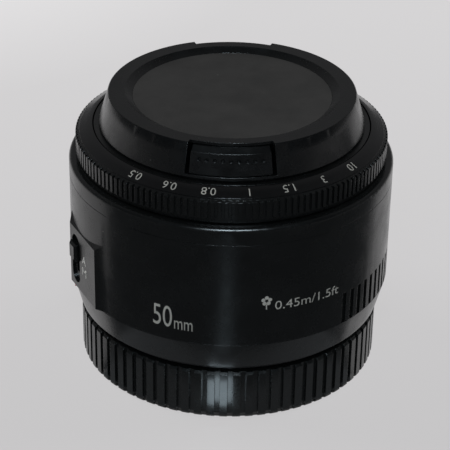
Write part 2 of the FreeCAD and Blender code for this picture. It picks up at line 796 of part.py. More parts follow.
def make_contact_screws():
    height = FLANGE_Z - CONTACT_SCREW_DROP
    return [
        spoke(
            CONTACT_ANGLE + side * CONTACT_SCREW_SPREAD, height, CONTACT_SCREW_R,
            BAYONET_R - CONTACT_SCREW_LENGTH, BAYONET_R,
        )
        for side in (-1, 1)
    ]


def make_mount_plate():
    plate = revolve([
        (MOUNT_BORE_R, FLANGE_Z - BAYONET_DROP),
        (BAYONET_R, FLANGE_Z - BAYONET_DROP),
        (BAYONET_R, FLANGE_Z),
        (MOUNT_R, FLANGE_Z),
        (MOUNT_R, SHELL_BOTTOM_Z),
        (MOUNT_BORE_R, SHELL_BOTTOM_Z),
    ])
    lug_top = FLANGE_Z - LUG_TOP_DROP
    plate = plate.fuse(lug_ring(BAYONET_R - OVERLAP, LUG_R, lug_top - LUG_THICK, lug_top))
    return plate.removeSplitter().cut(make_mount_screws() + make_contact_screws())


def make_contact_block():
    block = sector(
        CONTACT_BLOCK_IN_R, MOUNT_BORE_R - SEAT,
        CONTACT_ANGLE - CONTACT_HALF_SPAN, CONTACT_ANGLE + CONTACT_HALF_SPAN,
        FLANGE_Z - CONTACT_BOTTOM_DROP, FLANGE_Z - CONTACT_TOP_DROP,
    )
    return block.cut(make_gold_contacts() + make_contact_screws())


def make_gold_contacts():
    bottom = FLANGE_Z - CONTACT_BOTTOM_DROP
    middle_r = (CONTACT_BLOCK_IN_R + MOUNT_BORE_R) / 2
    first = CONTACT_ANGLE - CONTACT_PITCH * (CONTACT_COUNT - 1) / 2
    return [
        post(middle_r, first + CONTACT_PITCH * i, CONTACT_R, bottom - CONTACT_PROUD, bottom + CONTACT_DEPTH)
        for i in range(CONTACT_COUNT)
    ]


def make_rear_cover():
    low = FLANGE_Z - BAFFLE_DROP
    outer = MOUNT_BORE_R - SEAT
    cover = revolve([
        (BAFFLE_IN_R, low),
        (outer, low),
        (outer, FLANGE_Z - CONTACT_TOP_DROP),
        (outer - BAFFLE_RIM, FLANGE_Z - CONTACT_TOP_DROP),
        (outer - BAFFLE_RIM, low + BAFFLE_THICK),
        (BAFFLE_IN_R, low + BAFFLE_THICK),
    ])
    half = CONTACT_HALF_SPAN + BAFFLE_NOTCH_MARGIN
    notch = sector(
        BAFFLE_NOTCH_R, MOUNT_BORE_R + OVERCUT,
        CONTACT_ANGLE - half, CONTACT_ANGLE + half, low - OVERCUT, FLANGE_Z + OVERCUT,
    )
    return cover.cut(notch)


def make_rear_cap():
    chamfer = REAR_CAP_CHAMFER
    outside = ribbed(
        REAR_CAP_RIBS, REAR_CAP_FLOOR_R, REAR_CAP_RIDGE_R,
        REAR_CAP_RIDGE_SHARE, 0, REAR_CAP_HEIGHT,
    )
    envelope = revolve([
        (0, 0),
        (REAR_CAP_RIDGE_R - chamfer, 0),
        (REAR_CAP_RIDGE_R + RUN, chamfer),
        (REAR_CAP_RIDGE_R + RUN, REAR_CAP_HEIGHT - chamfer),
        (REAR_CAP_RIDGE_R - chamfer, REAR_CAP_HEIGHT),
        (0, REAR_CAP_HEIGHT),
    ])
    cup = outside.common(envelope).cut(disc(REAR_CAP_IN_R, REAR_CAP_BASE, REAR_CAP_HEIGHT + OVERCUT))
    tab_low = FLANGE_Z - LUG_TOP_DROP + RUN
    tabs = lug_ring(CAP_TAB_IN_R, REAR_CAP_IN_R + OVERLAP, tab_low, tab_low + CAP_TAB_THICK)
    return cup.fuse(tabs)


# Guide tube and cam ring

def pin_slot_radius():
    return PIN_R + PIN_SLOT_CLEARANCE


def make_fixed_tube():
    body = revolve([
        (GUIDE_IN_R, BASE_FLANGE_Z),
        (BASE_FLANGE_R, BASE_FLANGE_Z),
        (BASE_FLANGE_R, BASE_FLANGE_TOP_Z),
        (GUIDE_OUT_R, BASE_FLANGE_TOP_Z),
        (GUIDE_OUT_R, GUIDE_TOP_Z),
        (GUIDE_IN_R, GUIDE_TOP_Z),
    ])
    low = PIN_Z - PIN_SLOT_END
    high = PIN_Z + FOCUS_LIFT + PIN_SLOT_END
    radius = pin_slot_radius()
    inside = GUIDE_IN_R - OVERCUT
    for angle in spaced(PIN_COUNT, PIN_START):
        ends = [spoke(angle, height, radius, inside, GUIDE_OUT_R + OVERCUT) for height in (low, high)]
        middle = Part.makeBox(
            GUIDE_WALL + 2 * OVERCUT, 2 * radius, high - low,
            Vector(inside, -radius, low),
        )
        body = body.cut(ends + [turned(middle, angle)])
    for angle in board_post_angles():
        body = body.fuse(board_post(angle))
    return body.cut(make_mount_screws() + gear_shaft_pins() + bracket_screw_list())


def make_cam_ring():
    flange_z = CAM_TOP_Z - CAM_FLANGE_THICK
    ring = revolve([
        (CAM_IN_R, CAM_BOTTOM_Z),
        (CAM_OUT_R, CAM_BOTTOM_Z),
        (CAM_OUT_R, flange_z),
        (CAM_FLANGE_R, flange_z),
        (CAM_FLANGE_R, CAM_TOP_Z),
        (CAM_IN_R, CAM_TOP_Z),
    ])
    ring = ring.fuse(ring_gear_sector()).removeSplitter()
    radius = pin_slot_radius()
    cutter = helical_slot(radius)
    cutters = [turned(cutter, angle) for angle in spaced(PIN_COUNT, PIN_START)]
    return ring.cut(cutters).cut(make_focus_ring_screws())


def helical_slot(radius):
    """Cutter that follows a pin as the ring turns forwards under it."""
    near = CAM_IN_R - OVERCUT
    far = CAM_OUT_R + OVERCUT
    middle_r = (CAM_IN_R + CAM_OUT_R) / 2
    pitch = FOCUS_LIFT * 360.0 / FOCUS_THROW
    path = Part.makeHelix(pitch, FOCUS_LIFT, middle_r, 0, True)
    lean = math.atan2(pitch, 2 * math.pi * middle_r)
    half = radius / math.cos(lean)
    profile = Part.makePolygon([
        Vector(near, 0, -half),
        Vector(far, 0, -half),
        Vector(far, 0, half),
        Vector(near, 0, half),
        Vector(near, 0, -half),
    ])
    sweep = Part.Wire(path.Edges).makePipeShell([profile], True, True)
    sweep.translate(Vector(0, 0, PIN_Z))
    ends = [
        spoke(0, PIN_Z, radius, near, far),
        spoke(-FOCUS_THROW, PIN_Z + FOCUS_LIFT, radius, near, far),
    ]
    return sweep.fuse(ends)


def make_guide_pins():
    return [spoke(angle, PIN_Z, PIN_R, PIN_ROOT_R, CAM_OUT_R) for angle in spaced(PIN_COUNT, PIN_START)]


def make_cam_retainer():
    return tube(GUIDE_OUT_R, RETAINER_OUT_R, GUIDE_TOP_Z - RETAINER_THICK, GUIDE_TOP_Z)


# Focus ring

def make_focus_ring_screws():
    return [
        screw(
            RING_SCREW_RING_R, angle, RING_SCREW_R, RING_SCREW_HEAD_R,
            RING_SCREW_HEAD_HEIGHT, CAM_TOP_Z + RING_LIP_THICK, RING_SCREW_LENGTH, False,
        )
        for angle in spaced(RING_SCREW_COUNT, RING_SCREW_START)
    ]


def grip_top(radius):
    """Height of the chamfer that the ribs and the band share."""
    return GRIP_TOP_Z - (radius - GRIP_TOP_R) * GRIP_TIP_SLOPE


def make_focus_ring():
    lip_top = CAM_TOP_Z + RING_LIP_THICK
    skirt_in = SKIRT_R - SKIRT_WALL
    band = revolve([
        (RING_LIP_IN_R, CAM_TOP_Z),
        (RING_LIP_IN_R, lip_top),
        (RING_BORE_R, lip_top),
        (RING_BORE_R, GRIP_TOP_Z),
        (GRIP_TOP_R, GRIP_TOP_Z),
        (GRIP_FLOOR_R, grip_top(GRIP_FLOOR_R)),
        (GRIP_FLOOR_R, RING_BAND_Z),
        (SKIRT_R, RING_BAND_Z),
        (SKIRT_R, SKIRT_BOTTOM_Z),
        (skirt_in, SKIRT_BOTTOM_Z),
        (skirt_in, CAM_TOP_Z),
    ])
    buried_r = GRIP_FLOOR_R - OVERLAP
    ribs = ribbed(
        GRIP_RIBS, GRIP_FLOOR_R - OVERLAP / 2, GRIP_R, GRIP_RIDGE_SHARE,
        GRIP_BOTTOM_Z, GRIP_TOP_Z,
    )
    envelope = revolve([
        (buried_r, GRIP_BOTTOM_Z),
        (GRIP_R + RUN, GRIP_BOTTOM_Z),
        (GRIP_R + RUN, grip_top(GRIP_R + RUN)),
        (buried_r, grip_top(buried_r)),
    ])
    return band.fuse(ribs.common(envelope)).cut(make_focus_ring_screws())


def make_name_ring():
    return revolve([
        (NAME_RING_IN_R, GRIP_TOP_Z),
        (GRIP_TOP_R, GRIP_TOP_Z),
        (GRIP_TOP_R, GRIP_TOP_Z + NAME_RING_EDGE),
        (NAME_RING_IN_R + NAME_RING_EDGE, NAME_RING_TOP_Z),
        (NAME_RING_IN_R, NAME_RING_TOP_Z),
    ])


# Lens head

def make_inner_barrel():
    flange_top = HEAD_FLANGE_Z + HEAD_FLANGE_THICK
    barrel = revolve([
        (HEAD_BORE_LOW_R, HEAD_BOTTOM_Z),
        (HEAD_R, HEAD_BOTTOM_Z),
        (HEAD_R, HEAD_FLANGE_Z),
        (HEAD_FLANGE_R, HEAD_FLANGE_Z),
        (HEAD_FLANGE_R, flange_top),
        (HEAD_BORE_TOP_R, flange_top),
        (HEAD_BORE_TOP_R, HEAD_TOP_STEP_Z),
        (HEAD_BORE_MID_R, HEAD_TOP_STEP_Z),
        (HEAD_BORE_MID_R, HEAD_LOW_STEP_Z),
        (HEAD_BORE_LOW_R, HEAD_LOW_STEP_Z),
    ])
    return barrel.cut(make_guide_pins() + make_filter_screws())


def make_filter_screws():
    return [
        screw(
            FILTER_SCREW_RING_R, angle, FILTER_SCREW_R, FILTER_SCREW_HEAD_R,
            FILTER_SCREW_HEAD_HEIGHT, FILTER_BOTTOM_Z + FILTER_LIP_THICK, FILTER_SCREW_LENGTH, False,
        )
        for angle in spaced(FILTER_SCREW_COUNT, FILTER_SCREW_START)
    ]


def make_filter_ring():
    """Ring whose thread is cut as plain V grooves at the thread's pitch."""
    lip_top = FILTER_BOTTOM_Z + FILTER_LIP_THICK
    mouth = FILTER_MOUTH_R - THREAD_MINOR_R
    outline = [
        (FILTER_LIP_IN_R, FILTER_BOTTOM_Z),
        (FILTER_R, FILTER_BOTTOM_Z),
        (FILTER_R, FRONT_Z),
        (FILTER_MOUTH_R, FRONT_Z),
        (THREAD_MINOR_R, FRONT_Z - mouth),
    ]
    half = THREAD_DEPTH * THREAD_FLANK
    for turn in range(THREAD_TURNS):
        height = FRONT_Z - mouth - THREAD_TOP_DROP - THREAD_PITCH * turn
        outline.append((THREAD_MINOR_R, height + half))
        outline.append((THREAD_MAJOR_R, height))
        outline.append((THREAD_MINOR_R, height - half))
    outline.append((THREAD_MINOR_R, lip_top))
    outline.append((FILTER_LIP_IN_R, lip_top))
    return revolve(outline).cut(make_filter_screws())


def front_ring_height(radius, top=True):
    slope = (FRONT_RING_TOP_Z - FRONT_RING_IN_Z) / (FRONT_RING_R - FRONT_RING_LAND - FRONT_RING_IN_R)
    height = FRONT_RING_IN_Z + (radius - FRONT_RING_IN_R) * slope
    return height if top else height - FRONT_RING_THICK


def make_front_ring():
    skirt_out = HEAD_BORE_TOP_R - RUN
    seat_z = HEAD_TOP_STEP_Z + FRONT_CELL_FLANGE_THICK
    ring = revolve([
        (FRONT_RING_IN_R, front_ring_height(FRONT_RING_IN_R, False)),
        (FRONT_RING_IN_R, FRONT_RING_IN_Z),
        (FRONT_RING_R - FRONT_RING_LAND, FRONT_RING_TOP_Z),
        (FRONT_RING_R, FRONT_RING_TOP_Z),
        (FRONT_RING_R, front_ring_height(FRONT_RING_R, False)),
        (skirt_out, front_ring_height(skirt_out, False)),
        (skirt_out, seat_z),
        (FRONT_RING_SKIRT_IN_R, seat_z),
        (FRONT_RING_SKIRT_IN_R, front_ring_height(FRONT_RING_SKIRT_IN_R, False)),
    ])
    span = FRONT_RING_R - FRONT_RING_LAND - FRONT_RING_IN_R
    for step in range(1, FRONT_STEPS + 1):
        radius = FRONT_RING_IN_R + span * step / (FRONT_STEPS + 1)
        height = front_ring_height(radius)
        floor_z = height - FRONT_STEP_DEPTH
        ring = ring.cut(tube(radius, radius + FRONT_STEP_WIDTH, floor_z, height + OVERCUT))
    return ring


def make_front_cell():
    first = FRONT_GLASS["r"] + GLASS_GAP
    second = SECOND_GLASS["r"] + GLASS_GAP
    third = THIRD_GLASS["r"] + GLASS_GAP
    first_seat = rear_surface(FRONT_GLASS, FRONT_GLASS["r"]) - GLASS_GAP
    second_seat = rear_surface(SECOND_GLASS, SECOND_GLASS["r"]) - GLASS_GAP
    third_seat = rear_surface(THIRD_GLASS, THIRD_GLASS["rear_clear"]) - GLASS_GAP
    flange_r = HEAD_BORE_TOP_R - RUN
    flange_top = HEAD_TOP_STEP_Z + FRONT_CELL_FLANGE_THICK
    return revolve([
        (FRONT_CELL_LIP_IN_R, third_seat - FRONT_CELL_LIP_THICK),
        (FRONT_CELL_NECK_R, third_seat - FRONT_CELL_LIP_THICK),
        (FRONT_CELL_NECK_R, FRONT_CELL_NECK_TOP_Z),
        (FRONT_CELL_BODY_R, FRONT_CELL_NECK_TOP_Z),
        (FRONT_CELL_BODY_R, HEAD_TOP_STEP_Z),
        (flange_r, HEAD_TOP_STEP_Z),
        (flange_r, flange_top),
        (FRONT_CELL_TOP_R, flange_top),
        (FRONT_CELL_TOP_R, FRONT_CELL_TOP_Z),
        (first, FRONT_CELL_TOP_Z),
        (first, first_seat),
        (second, first_seat),
        (second, second_seat),
        (third, second_seat),
        (third, third_seat),
        (FRONT_CELL_LIP_IN_R, third_seat),
    ])


def make_front_retainer():
    outer = FRONT_GLASS["r"]
    inner = outer - RETAINING_RING_WALL
    return revolve([
        (inner, front_surface(FRONT_GLASS, inner) + GLASS_GAP),
        (outer, front_surface(FRONT_GLASS, outer) + GLASS_GAP),
        (outer, FRONT_CELL_TOP_Z),
        (inner, FRONT_CELL_TOP_Z),
    ])


def make_front_spacer():
    outer = SECOND_GLASS["r"]
    inner = outer - SPACER_WALL
    top = rear_surface(FRONT_GLASS, outer) - 2 * GLASS_GAP
    return revolve([
        (inner, front_surface(SECOND_GLASS, inner) + GLASS_GAP),
        (outer, front_surface(SECOND_GLASS, outer) + GLASS_GAP),
        (outer, top),
        (inner, top),
    ])


def make_rear_cell():
    pair = FOURTH_GLASS["r"] + GLASS_GAP
    last = SIXTH_GLASS["r"] + GLASS_GAP
    pair_seat = front_surface(FOURTH_GLASS, FOURTH_GLASS["front_clear"]) + GLASS_GAP
    last_seat = front_surface(SIXTH_GLASS, pair) + GLASS_GAP
    flange_top = HEAD_LOW_STEP_Z + REAR_CELL_FLANGE_THICK
    return revolve([
        (REAR_CELL_LIP_IN_R, pair_seat),
        (REAR_CELL_LIP_IN_R, flange_top),
        (IRIS_R, flange_top),
        (IRIS_R, HEAD_LOW_STEP_Z),
        (REAR_CELL_R + REAR_CELL_NECK, HEAD_LOW_STEP_Z),
        (REAR_CELL_R, HEAD_LOW_STEP_Z - REAR_CELL_NECK),
        (REAR_CELL_R, REAR_CELL_BOTTOM_Z),
        (last, REAR_CELL_BOTTOM_Z),
        (last, last_seat),
        (pair, last_seat),
        (pair, pair_seat),
    ])


def make_rear_retainer():
    outer = SIXTH_GLASS["r"]
    inner = outer - REAR_RETAINER_WALL
    return revolve([
        (inner, REAR_CELL_BOTTOM_Z),
        (outer, REAR_CELL_BOTTOM_Z),
        (outer, rear_surface(SIXTH_GLASS, outer) - 2 * GLASS_GAP),
        (inner, rear_surface(SIXTH_GLASS, inner) - 2 * GLASS_GAP),
    ])


def make_rear_spacer():
    outer = FIFTH_GLASS["r"]
    inner = outer - REAR_SPACER_WALL
    return revolve([
        (inner, front_surface(SIXTH_GLASS, inner) + 2 * GLASS_GAP),
        (outer, front_surface(SIXTH_GLASS, outer) + 2 * GLASS_GAP),
        (outer, rear_surface(FIFTH_GLASS, outer) - 2 * GLASS_GAP),
        (inner, rear_surface(FIFTH_GLASS, inner) - 2 * GLASS_GAP),
    ])


# Iris diaphragm

def blade_layer(index):
    return IRIS_BASE_Z + IRIS_BASE_THICK + LAYER_GAP + BLADE_PITCH * index


def drive_ring_low():
    return blade_layer(BLADE_COUNT) + LAYER_GAP


def cover_low():
    return drive_ring_low() + DRIVE_RING_THICK + LAYER_GAP


def blade_pivots():
    return spaced(BLADE_COUNT, 0.0)


def make_aperture_base():
    base = tube(IRIS_OPEN_R, IRIS_R, IRIS_BASE_Z, IRIS_BASE_Z + IRIS_BASE_THICK)
    hole_r = BLADE_PIVOT_PIN_R + GEAR_BORE_CLEARANCE
    holes = [
        post(BLADE_PIVOT_R, angle, hole_r, IRIS_BASE_Z - OVERCUT, IRIS_BASE_Z + IRIS_BASE_THICK + OVERCUT)
        for angle in blade_pivots()
    ]
    return base.cut(holes)


def make_blade(index):
    """Crescent with an ear, a pivot pin below it and a drive pin above it."""
    low = blade_layer(index)
    high = low + BLADE_THICK
    crescent = sector(BLADE_IN_R, BLADE_OUT_R, -BLADE_HEEL, BLADE_SPAN, low, high)
    ear = post(BLADE_PIVOT_R, 0, BLADE_EAR_R, low, high)
    lever_end = Vector(BLADE_PIVOT_R, -BLADE_LEVER, 0)
    lever_round = Part.makeCylinder(BLADE_EAR_R, BLADE_THICK, lever_end + Vector(0, 0, low))
    web = Part.makeBox(
        BLADE_PIVOT_R + BLADE_EAR_R - BLADE_OUT_R + OVERCUT, BLADE_LEVER, BLADE_THICK,
        Vector(BLADE_OUT_R - OVERCUT, -BLADE_LEVER, low),
    )
    pivot_pin = post(BLADE_PIVOT_R, 0, BLADE_PIVOT_PIN_R, IRIS_BASE_Z + LAYER_GAP, high)
    drive_pin = Part.makeCylinder(
        BLADE_DRIVE_PIN_R, drive_ring_low() + DRIVE_RING_THICK - high,
        lever_end + Vector(0, 0, high),
    )
    blade = crescent.fuse([ear, lever_round, web, pivot_pin, drive_pin]).removeSplitter()
    return turned(blade, blade_pivots()[index])


def drive_pin_path(share):
    """Place of a drive pin seen from the drive ring, at a share of its turn."""
    swing = math.radians(BLADE_TURN * share - 90.0)
    x = BLADE_PIVOT_R + BLADE_LEVER * math.cos(swing)
    y = BLADE_LEVER * math.sin(swing)
    back = math.radians(-IRIS_TURN * share)
    return x * math.cos(back) - y * math.sin(back), x * math.sin(back) + y * math.cos(back)


def drive_slot():
    """Slot along the drive pin's path, as short straight runs with round joints."""
    radius = BLADE_DRIVE_PIN_R + IRIS_PIN_CLEARANCE
    low = drive_ring_low() - OVERCUT
    height = DRIVE_RING_THICK + 2 * OVERCUT
    margin = IRIS_SLOT_MARGIN
    shares = [-margin + (1 + 2 * margin) * i / IRIS_SLOT_STEPS for i in range(IRIS_SLOT_STEPS + 1)]
    places = [Vector(*drive_pin_path(share), low) for share in shares]
    pieces = [Part.makeCylinder(radius, height, place) for place in places]
    for start, end in zip(places, places[1:]):
        run = end - start
        block = Part.makeBox(run.Length, 2 * radius, height, Vector(0, -radius, 0))
        block.rotate(CENTRE, UP, math.degrees(math.atan2(run.y, run.x)))
        block.translate(start)
        pieces.append(block)
    return pieces[0].fuse(pieces[1:])


def iris_mesh_radius():
    return FINE_MODULE * (IRIS_RING_TEETH - IRIS_PINION_TEETH) / 2


def make_aperture_drive_ring():
    low = drive_ring_low()
    high = low + DRIVE_RING_THICK
    ring = tube(DRIVE_RING_IN_R, IRIS_R - RUN, low, high)
    slot = drive_slot()
    ring = ring.cut([turned(slot, angle) for angle in blade_pivots()])
    pitch_r = FINE_MODULE * IRIS_RING_TEETH / 2
    pitch_angle = 360.0 / IRIS_RING_TEETH
    root_r = pitch_r + DEDENDUM * FINE_MODULE
    half_gap = FINE_MODULE * math.pi * (2 - TOOTH_SHARE) / 4
    lean = math.tan(math.radians(PRESSURE_ANGLE))
    mouth_r = DRIVE_RING_IN_R - OVERLAP
    mouth = half_gap + (pitch_r - mouth_r) * lean
    root = half_gap - (root_r - pitch_r) * lean
    corners = [(mouth_r, -mouth), (root_r, -root), (root_r, root), (mouth_r, mouth)]
    gap = prism(corners, low - OVERCUT, high + OVERCUT)
    reach = math.ceil(IRIS_TURN / pitch_angle) + 2
    angles = [IRIS_PINION_ANGLE + pitch_angle * (0.5 - i) for i in range(-1, reach + 1)]
    return ring.cut([turned(gap, angle) for angle in angles])


def make_aperture_pinion():
    low = drive_ring_low()
    centre = polar(iris_mesh_radius(), IRIS_PINION_ANGLE)
    half_pitch = 180.0 / IRIS_PINION_TEETH
    body = gear(IRIS_PINION_TEETH, FINE_MODULE, IRIS_PINION_ANGLE + half_pitch, low, low + DRIVE_RING_THICK)
    shaft_length = cover_low() + COVER_THICK + IRIS_SHAFT_REACH - low
    shaft = Part.makeCylinder(SMALL_SHAFT_R, shaft_length, Vector(0, 0, low))
    body = body.fuse(shaft).removeSplitter()
    body.translate(Vector(*centre, 0))
    return body


def iris_shaft_hole(low, high):
    radius = SMALL_SHAFT_R + GEAR_BORE_CLEARANCE
    return post(iris_mesh_radius(), IRIS_PINION_ANGLE, radius, low, high)


def make_aperture_cover():
    low = cover_low()
    cover = tube(COVER_IN_R, IRIS_R, low, low + COVER_THICK)
    hole = iris_shaft_hole(low - OVERCUT, low + COVER_THICK + OVERCUT)
    return cover.cut(hole)


def make_aperture_motor():
    low = cover_low() + COVER_THICK
    can = post(iris_mesh_radius(), IRIS_PINION_ANGLE, IRIS_MOTOR_R, low, low + IRIS_MOTOR_HEIGHT)
    bore = iris_shaft_hole(low - OVERCUT, low + IRIS_SHAFT_REACH + OVERLAP)
    return can.cut(bore)


# Focus drive: motor pinion, two double gears and the toothed sector of the cam ring

RING_GEAR_PITCH_R = RING_GEAR_MODULE * RING_GEAR_TEETH / 2
GEAR_2_RADIUS = RING_GEAR_PITCH_R + RING_GEAR_MODULE * DRIVE_PINION_TEETH / 2
FINE_DISTANCE = FINE_MODULE * (WHEEL_TEETH + PINION_TEETH) / 2
GEAR_1_ANGLE = GEAR_2_ANGLE + step_angle(GEAR_2_RADIUS, GEAR_1_RADIUS, FINE_DISTANCE)
MOTOR_ANGLE = GEAR_1_ANGLE + step_angle(GEAR_1_RADIUS, MOTOR_RADIUS, FINE_DISTANCE)
GEAR_2_CENTRE = polar(GEAR_2_RADIUS, GEAR_2_ANGLE)
GEAR_1_CENTRE = polar(GEAR_1_RADIUS, GEAR_1_ANGLE)
MOTOR_CENTRE = polar(MOTOR_RADIUS, MOTOR_ANGLE)
LEVEL_A_Z = BASE_FLANGE_TOP_Z + LEVEL_GAP
LEVEL_B_Z = LEVEL_A_Z + LEVEL_A_THICK + LEVEL_GAP
LEVEL_C_Z = LEVEL_B_Z + LEVEL_B_THICK + LEVEL_GAP
BRACKET_Z = LEVEL_C_Z + LEVEL_C_THICK + LEVEL_GAP
BRACKET_TOP_Z = BRACKET_Z + BRACKET_THICK


def ring_gear_sector():
    """Teeth only where the drive pinion works, on a plain ring at the root."""
    pitch_angle = 360.0 / RING_GEAR_TEETH
    reach = math.ceil(FOCUS_THROW / pitch_angle)
    first = -reach - RING_GEAR_MARGIN_TEETH
    last = RING_GEAR_MARGIN_TEETH
    outline = gear_outline(RING_GEAR_TEETH, RING_GEAR_MODULE, GEAR_2_ANGLE, first, last)
    root_r = gear_root(RING_GEAR_TEETH, RING_GEAR_MODULE)
    start = GEAR_2_ANGLE + pitch_angle * (first - 0.5)
    end = GEAR_2_ANGLE + pitch_angle * (last + 0.5)
    inner_r = CAM_OUT_R - OVERLAP
    steps = last - first + 1
    back = [polar(inner_r, end + (start - end) * i / steps) for i in range(steps + 1)]
    rim = [polar(root_r, start)] + outline + [polar(root_r, end)]
    high = LEVEL_A_Z + LEVEL_A_THICK
    return prism(rim + back, LEVEL_A_Z, high).cut(disc(CAM_IN_R, LEVEL_A_Z - OVERCUT, high + OVERCUT))


def gear_body(centre, parts, low, high):
    """Stack of toothed prisms on a hub with a bore, moved to its shaft."""
    hub = disc(GEAR_HUB_R, low, high)
    body = hub.fuse(parts).removeSplitter()
    body = body.cut(disc(GEAR_SHAFT_R + GEAR_BORE_CLEARANCE, low - OVERCUT, high + OVERCUT))
    body.translate(Vector(*centre, 0))
    return body


def make_focus_gear_2():
    facing_ring = GEAR_2_ANGLE + 180.0 + 180.0 / DRIVE_PINION_TEETH
    pinion = gear(DRIVE_PINION_TEETH, RING_GEAR_MODULE, facing_ring, LEVEL_A_Z, LEVEL_A_Z + LEVEL_A_THICK)
    facing_gear_1 = direction_of(GEAR_2_CENTRE, GEAR_1_CENTRE)
    wheel = gear(WHEEL_TEETH, FINE_MODULE, facing_gear_1, LEVEL_B_Z, LEVEL_B_Z + LEVEL_B_THICK)
    return gear_body(GEAR_2_CENTRE, [pinion, wheel], BASE_FLANGE_TOP_Z + RUN, BRACKET_Z - RUN)


def make_focus_gear_1():
    facing_gear_2 = direction_of(GEAR_1_CENTRE, GEAR_2_CENTRE) + 180.0 / PINION_TEETH
    pinion_top = LEVEL_B_Z + LEVEL_B_THICK + LEVEL_GAP
    pinion = gear(PINION_TEETH, FINE_MODULE, facing_gear_2, LEVEL_B_Z, pinion_top)
    facing_motor = direction_of(GEAR_1_CENTRE, MOTOR_CENTRE)
    wheel = gear(WHEEL_TEETH, FINE_MODULE, facing_motor, LEVEL_C_Z, LEVEL_C_Z + LEVEL_C_THICK)
    return gear_body(GEAR_1_CENTRE, [pinion, wheel], BASE_FLANGE_TOP_Z + RUN, BRACKET_Z - RUN)


def make_motor_pinion():
    facing_gear_1 = direction_of(MOTOR_CENTRE, GEAR_1_CENTRE) + 180.0 / PINION_TEETH
    body = gear(PINION_TEETH, FINE_MODULE, facing_gear_1, LEVEL_C_Z, LEVEL_C_Z + LEVEL_C_THICK)
    shaft = disc(GEAR_SHAFT_R, LEVEL_C_Z, BRACKET_TOP_Z + MOTOR_SHAFT_REACH)
    body = body.fuse(shaft).removeSplitter()
    body.translate(Vector(*MOTOR_CENTRE, 0))
    return body


def gear_shaft_pins():
    low = BASE_FLANGE_Z + 2 * RUN
    pins = []
    for x, y in (GEAR_1_CENTRE, GEAR_2_CENTRE):
        pins.append(Part.makeCylinder(GEAR_SHAFT_R, BRACKET_TOP_Z - low, Vector(x, y, low)))
    return pins


def bracket_leg_angles():
    return (GEAR_2_ANGLE - BRACKET_LEG_STEP, MOTOR_ANGLE + BRACKET_LEG_STEP)


def bracket_screw_list():
    low = BASE_FLANGE_Z + 2 * RUN
    screws = []
    for angle in bracket_leg_angles():
        shank = post(BRACKET_LEG_RING_R, angle, BRACKET_SCREW_R, low, BRACKET_TOP_Z)
        head = post(
            BRACKET_LEG_RING_R, angle, BRACKET_SCREW_HEAD_R,
            BRACKET_TOP_Z, BRACKET_TOP_Z + BRACKET_SCREW_HEAD_HEIGHT,
        )
        screws.append(shank.fuse(head).removeSplitter())
    return screws


def make_gear_bracket():
    plate = sector(
        BRACKET_IN_R, BRACKET_OUT_R, GEAR_2_ANGLE - BRACKET_END, MOTOR_ANGLE + BRACKET_END,
        BRACKET_Z, BRACKET_TOP_Z,
    )
    legs = [
        post(BRACKET_LEG_RING_R, angle, BRACKET_LEG_R, BASE_FLANGE_TOP_Z, BRACKET_Z + OVERLAP)
        for angle in bracket_leg_angles()
    ]
    nose = post(MOTOR_RADIUS, MOTOR_ANGLE, MOTOR_NOSE_R, BRACKET_Z - OVERCUT, BRACKET_TOP_Z + OVERCUT)
    return plate.fuse(legs).removeSplitter().cut([nose] + gear_shaft_pins() + bracket_screw_list())


def make_focus_motor():
    can = post(MOTOR_RADIUS, MOTOR_ANGLE, MOTOR_R, BRACKET_TOP_Z, BRACKET_TOP_Z + MOTOR_HEIGHT)
    nose = post(
        MOTOR_RADIUS, MOTOR_ANGLE, MOTOR_NOSE_R - SEAT,
        BRACKET_TOP_Z - BRACKET_THICK / 2, BRACKET_TOP_Z + OVERLAP,
    )
    bore = post(
        MOTOR_RADIUS, MOTOR_ANGLE, GEAR_SHAFT_R + GEAR_BORE_CLEARANCE,
        BRACKET_Z - OVERCUT, BRACKET_TOP_Z + MOTOR_SHAFT_REACH + 2 * RUN,
    )
    return can.fuse(nose).removeSplitter().cut(bore)


# Circuit board

def board_post_angles():
    step = BOARD_SPAN / BOARD_POSTS
    return [BOARD_START + step * (i + 0.5) for i in range(BOARD_POSTS)]


def board_post(angle):
    middle_r = (BOARD_IN_R + BOARD_OUT_R) / 2
    return post(middle_r, angle, BOARD_POST_R, BASE_FLANGE_TOP_Z - OVERLAP, BOARD_Z)


def make_circuit_board():
    board_top = BOARD_Z + BOARD_THICK
    board = sector(BOARD_IN_R, BOARD_OUT_R, BOARD_START, BOARD_START + BOARD_SPAN, BOARD_Z, board_top)
    chip = Part.makeBox(
        CHIP_WIDTH, CHIP_LENGTH, CHIP_HEIGHT + OVERLAP,
        Vector((BOARD_IN_R + BOARD_OUT_R - CHIP_WIDTH) / 2, -CHIP_LENGTH / 2, board_top - OVERLAP),
    )
    step = BOARD_SPAN / CHIP_COUNT
    chips = [turned(chip, BOARD_START + step * (i + 0.5)) for i in range(CHIP_COUNT)]
    return board.fuse(chips)


# Front cap

CAP_BOTTOM_Z = FRONT_Z + CAP_GAP
CAP_PLATE_Z = CAP_FACE_Z - CAP_PLATE_THICK
CAP_ROOF_Z = CAP_PLATE_Z - CAP_ROOF_THICK
CAP_BACK_Z = CAP_BOTTOM_Z + CAP_BACK_PLATE_LIFT
CAP_BACK_TOP_Z = CAP_BACK_Z + CAP_BACK_PLATE_THICK
LATCH_TOP_Z = CAP_TOP_Z - LATCH_LIP_THICK - RUN
TONGUE_LOW_Z = CAP_BACK_TOP_Z + RUN
TONGUE_HIGH_Z = CAP_ROOF_Z - RUN
SPRING_Z = (TONGUE_LOW_Z + TONGUE_HIGH_Z) / 2


def cap_side_radius(height):
    low = CAP_BOTTOM_Z + CAP_RIM_HEIGHT
    share = (height - low) / (CAP_TOP_Z - low)
    return CAP_RIM_R + share * (CAP_SHOULDER_R - CAP_RIM_R)


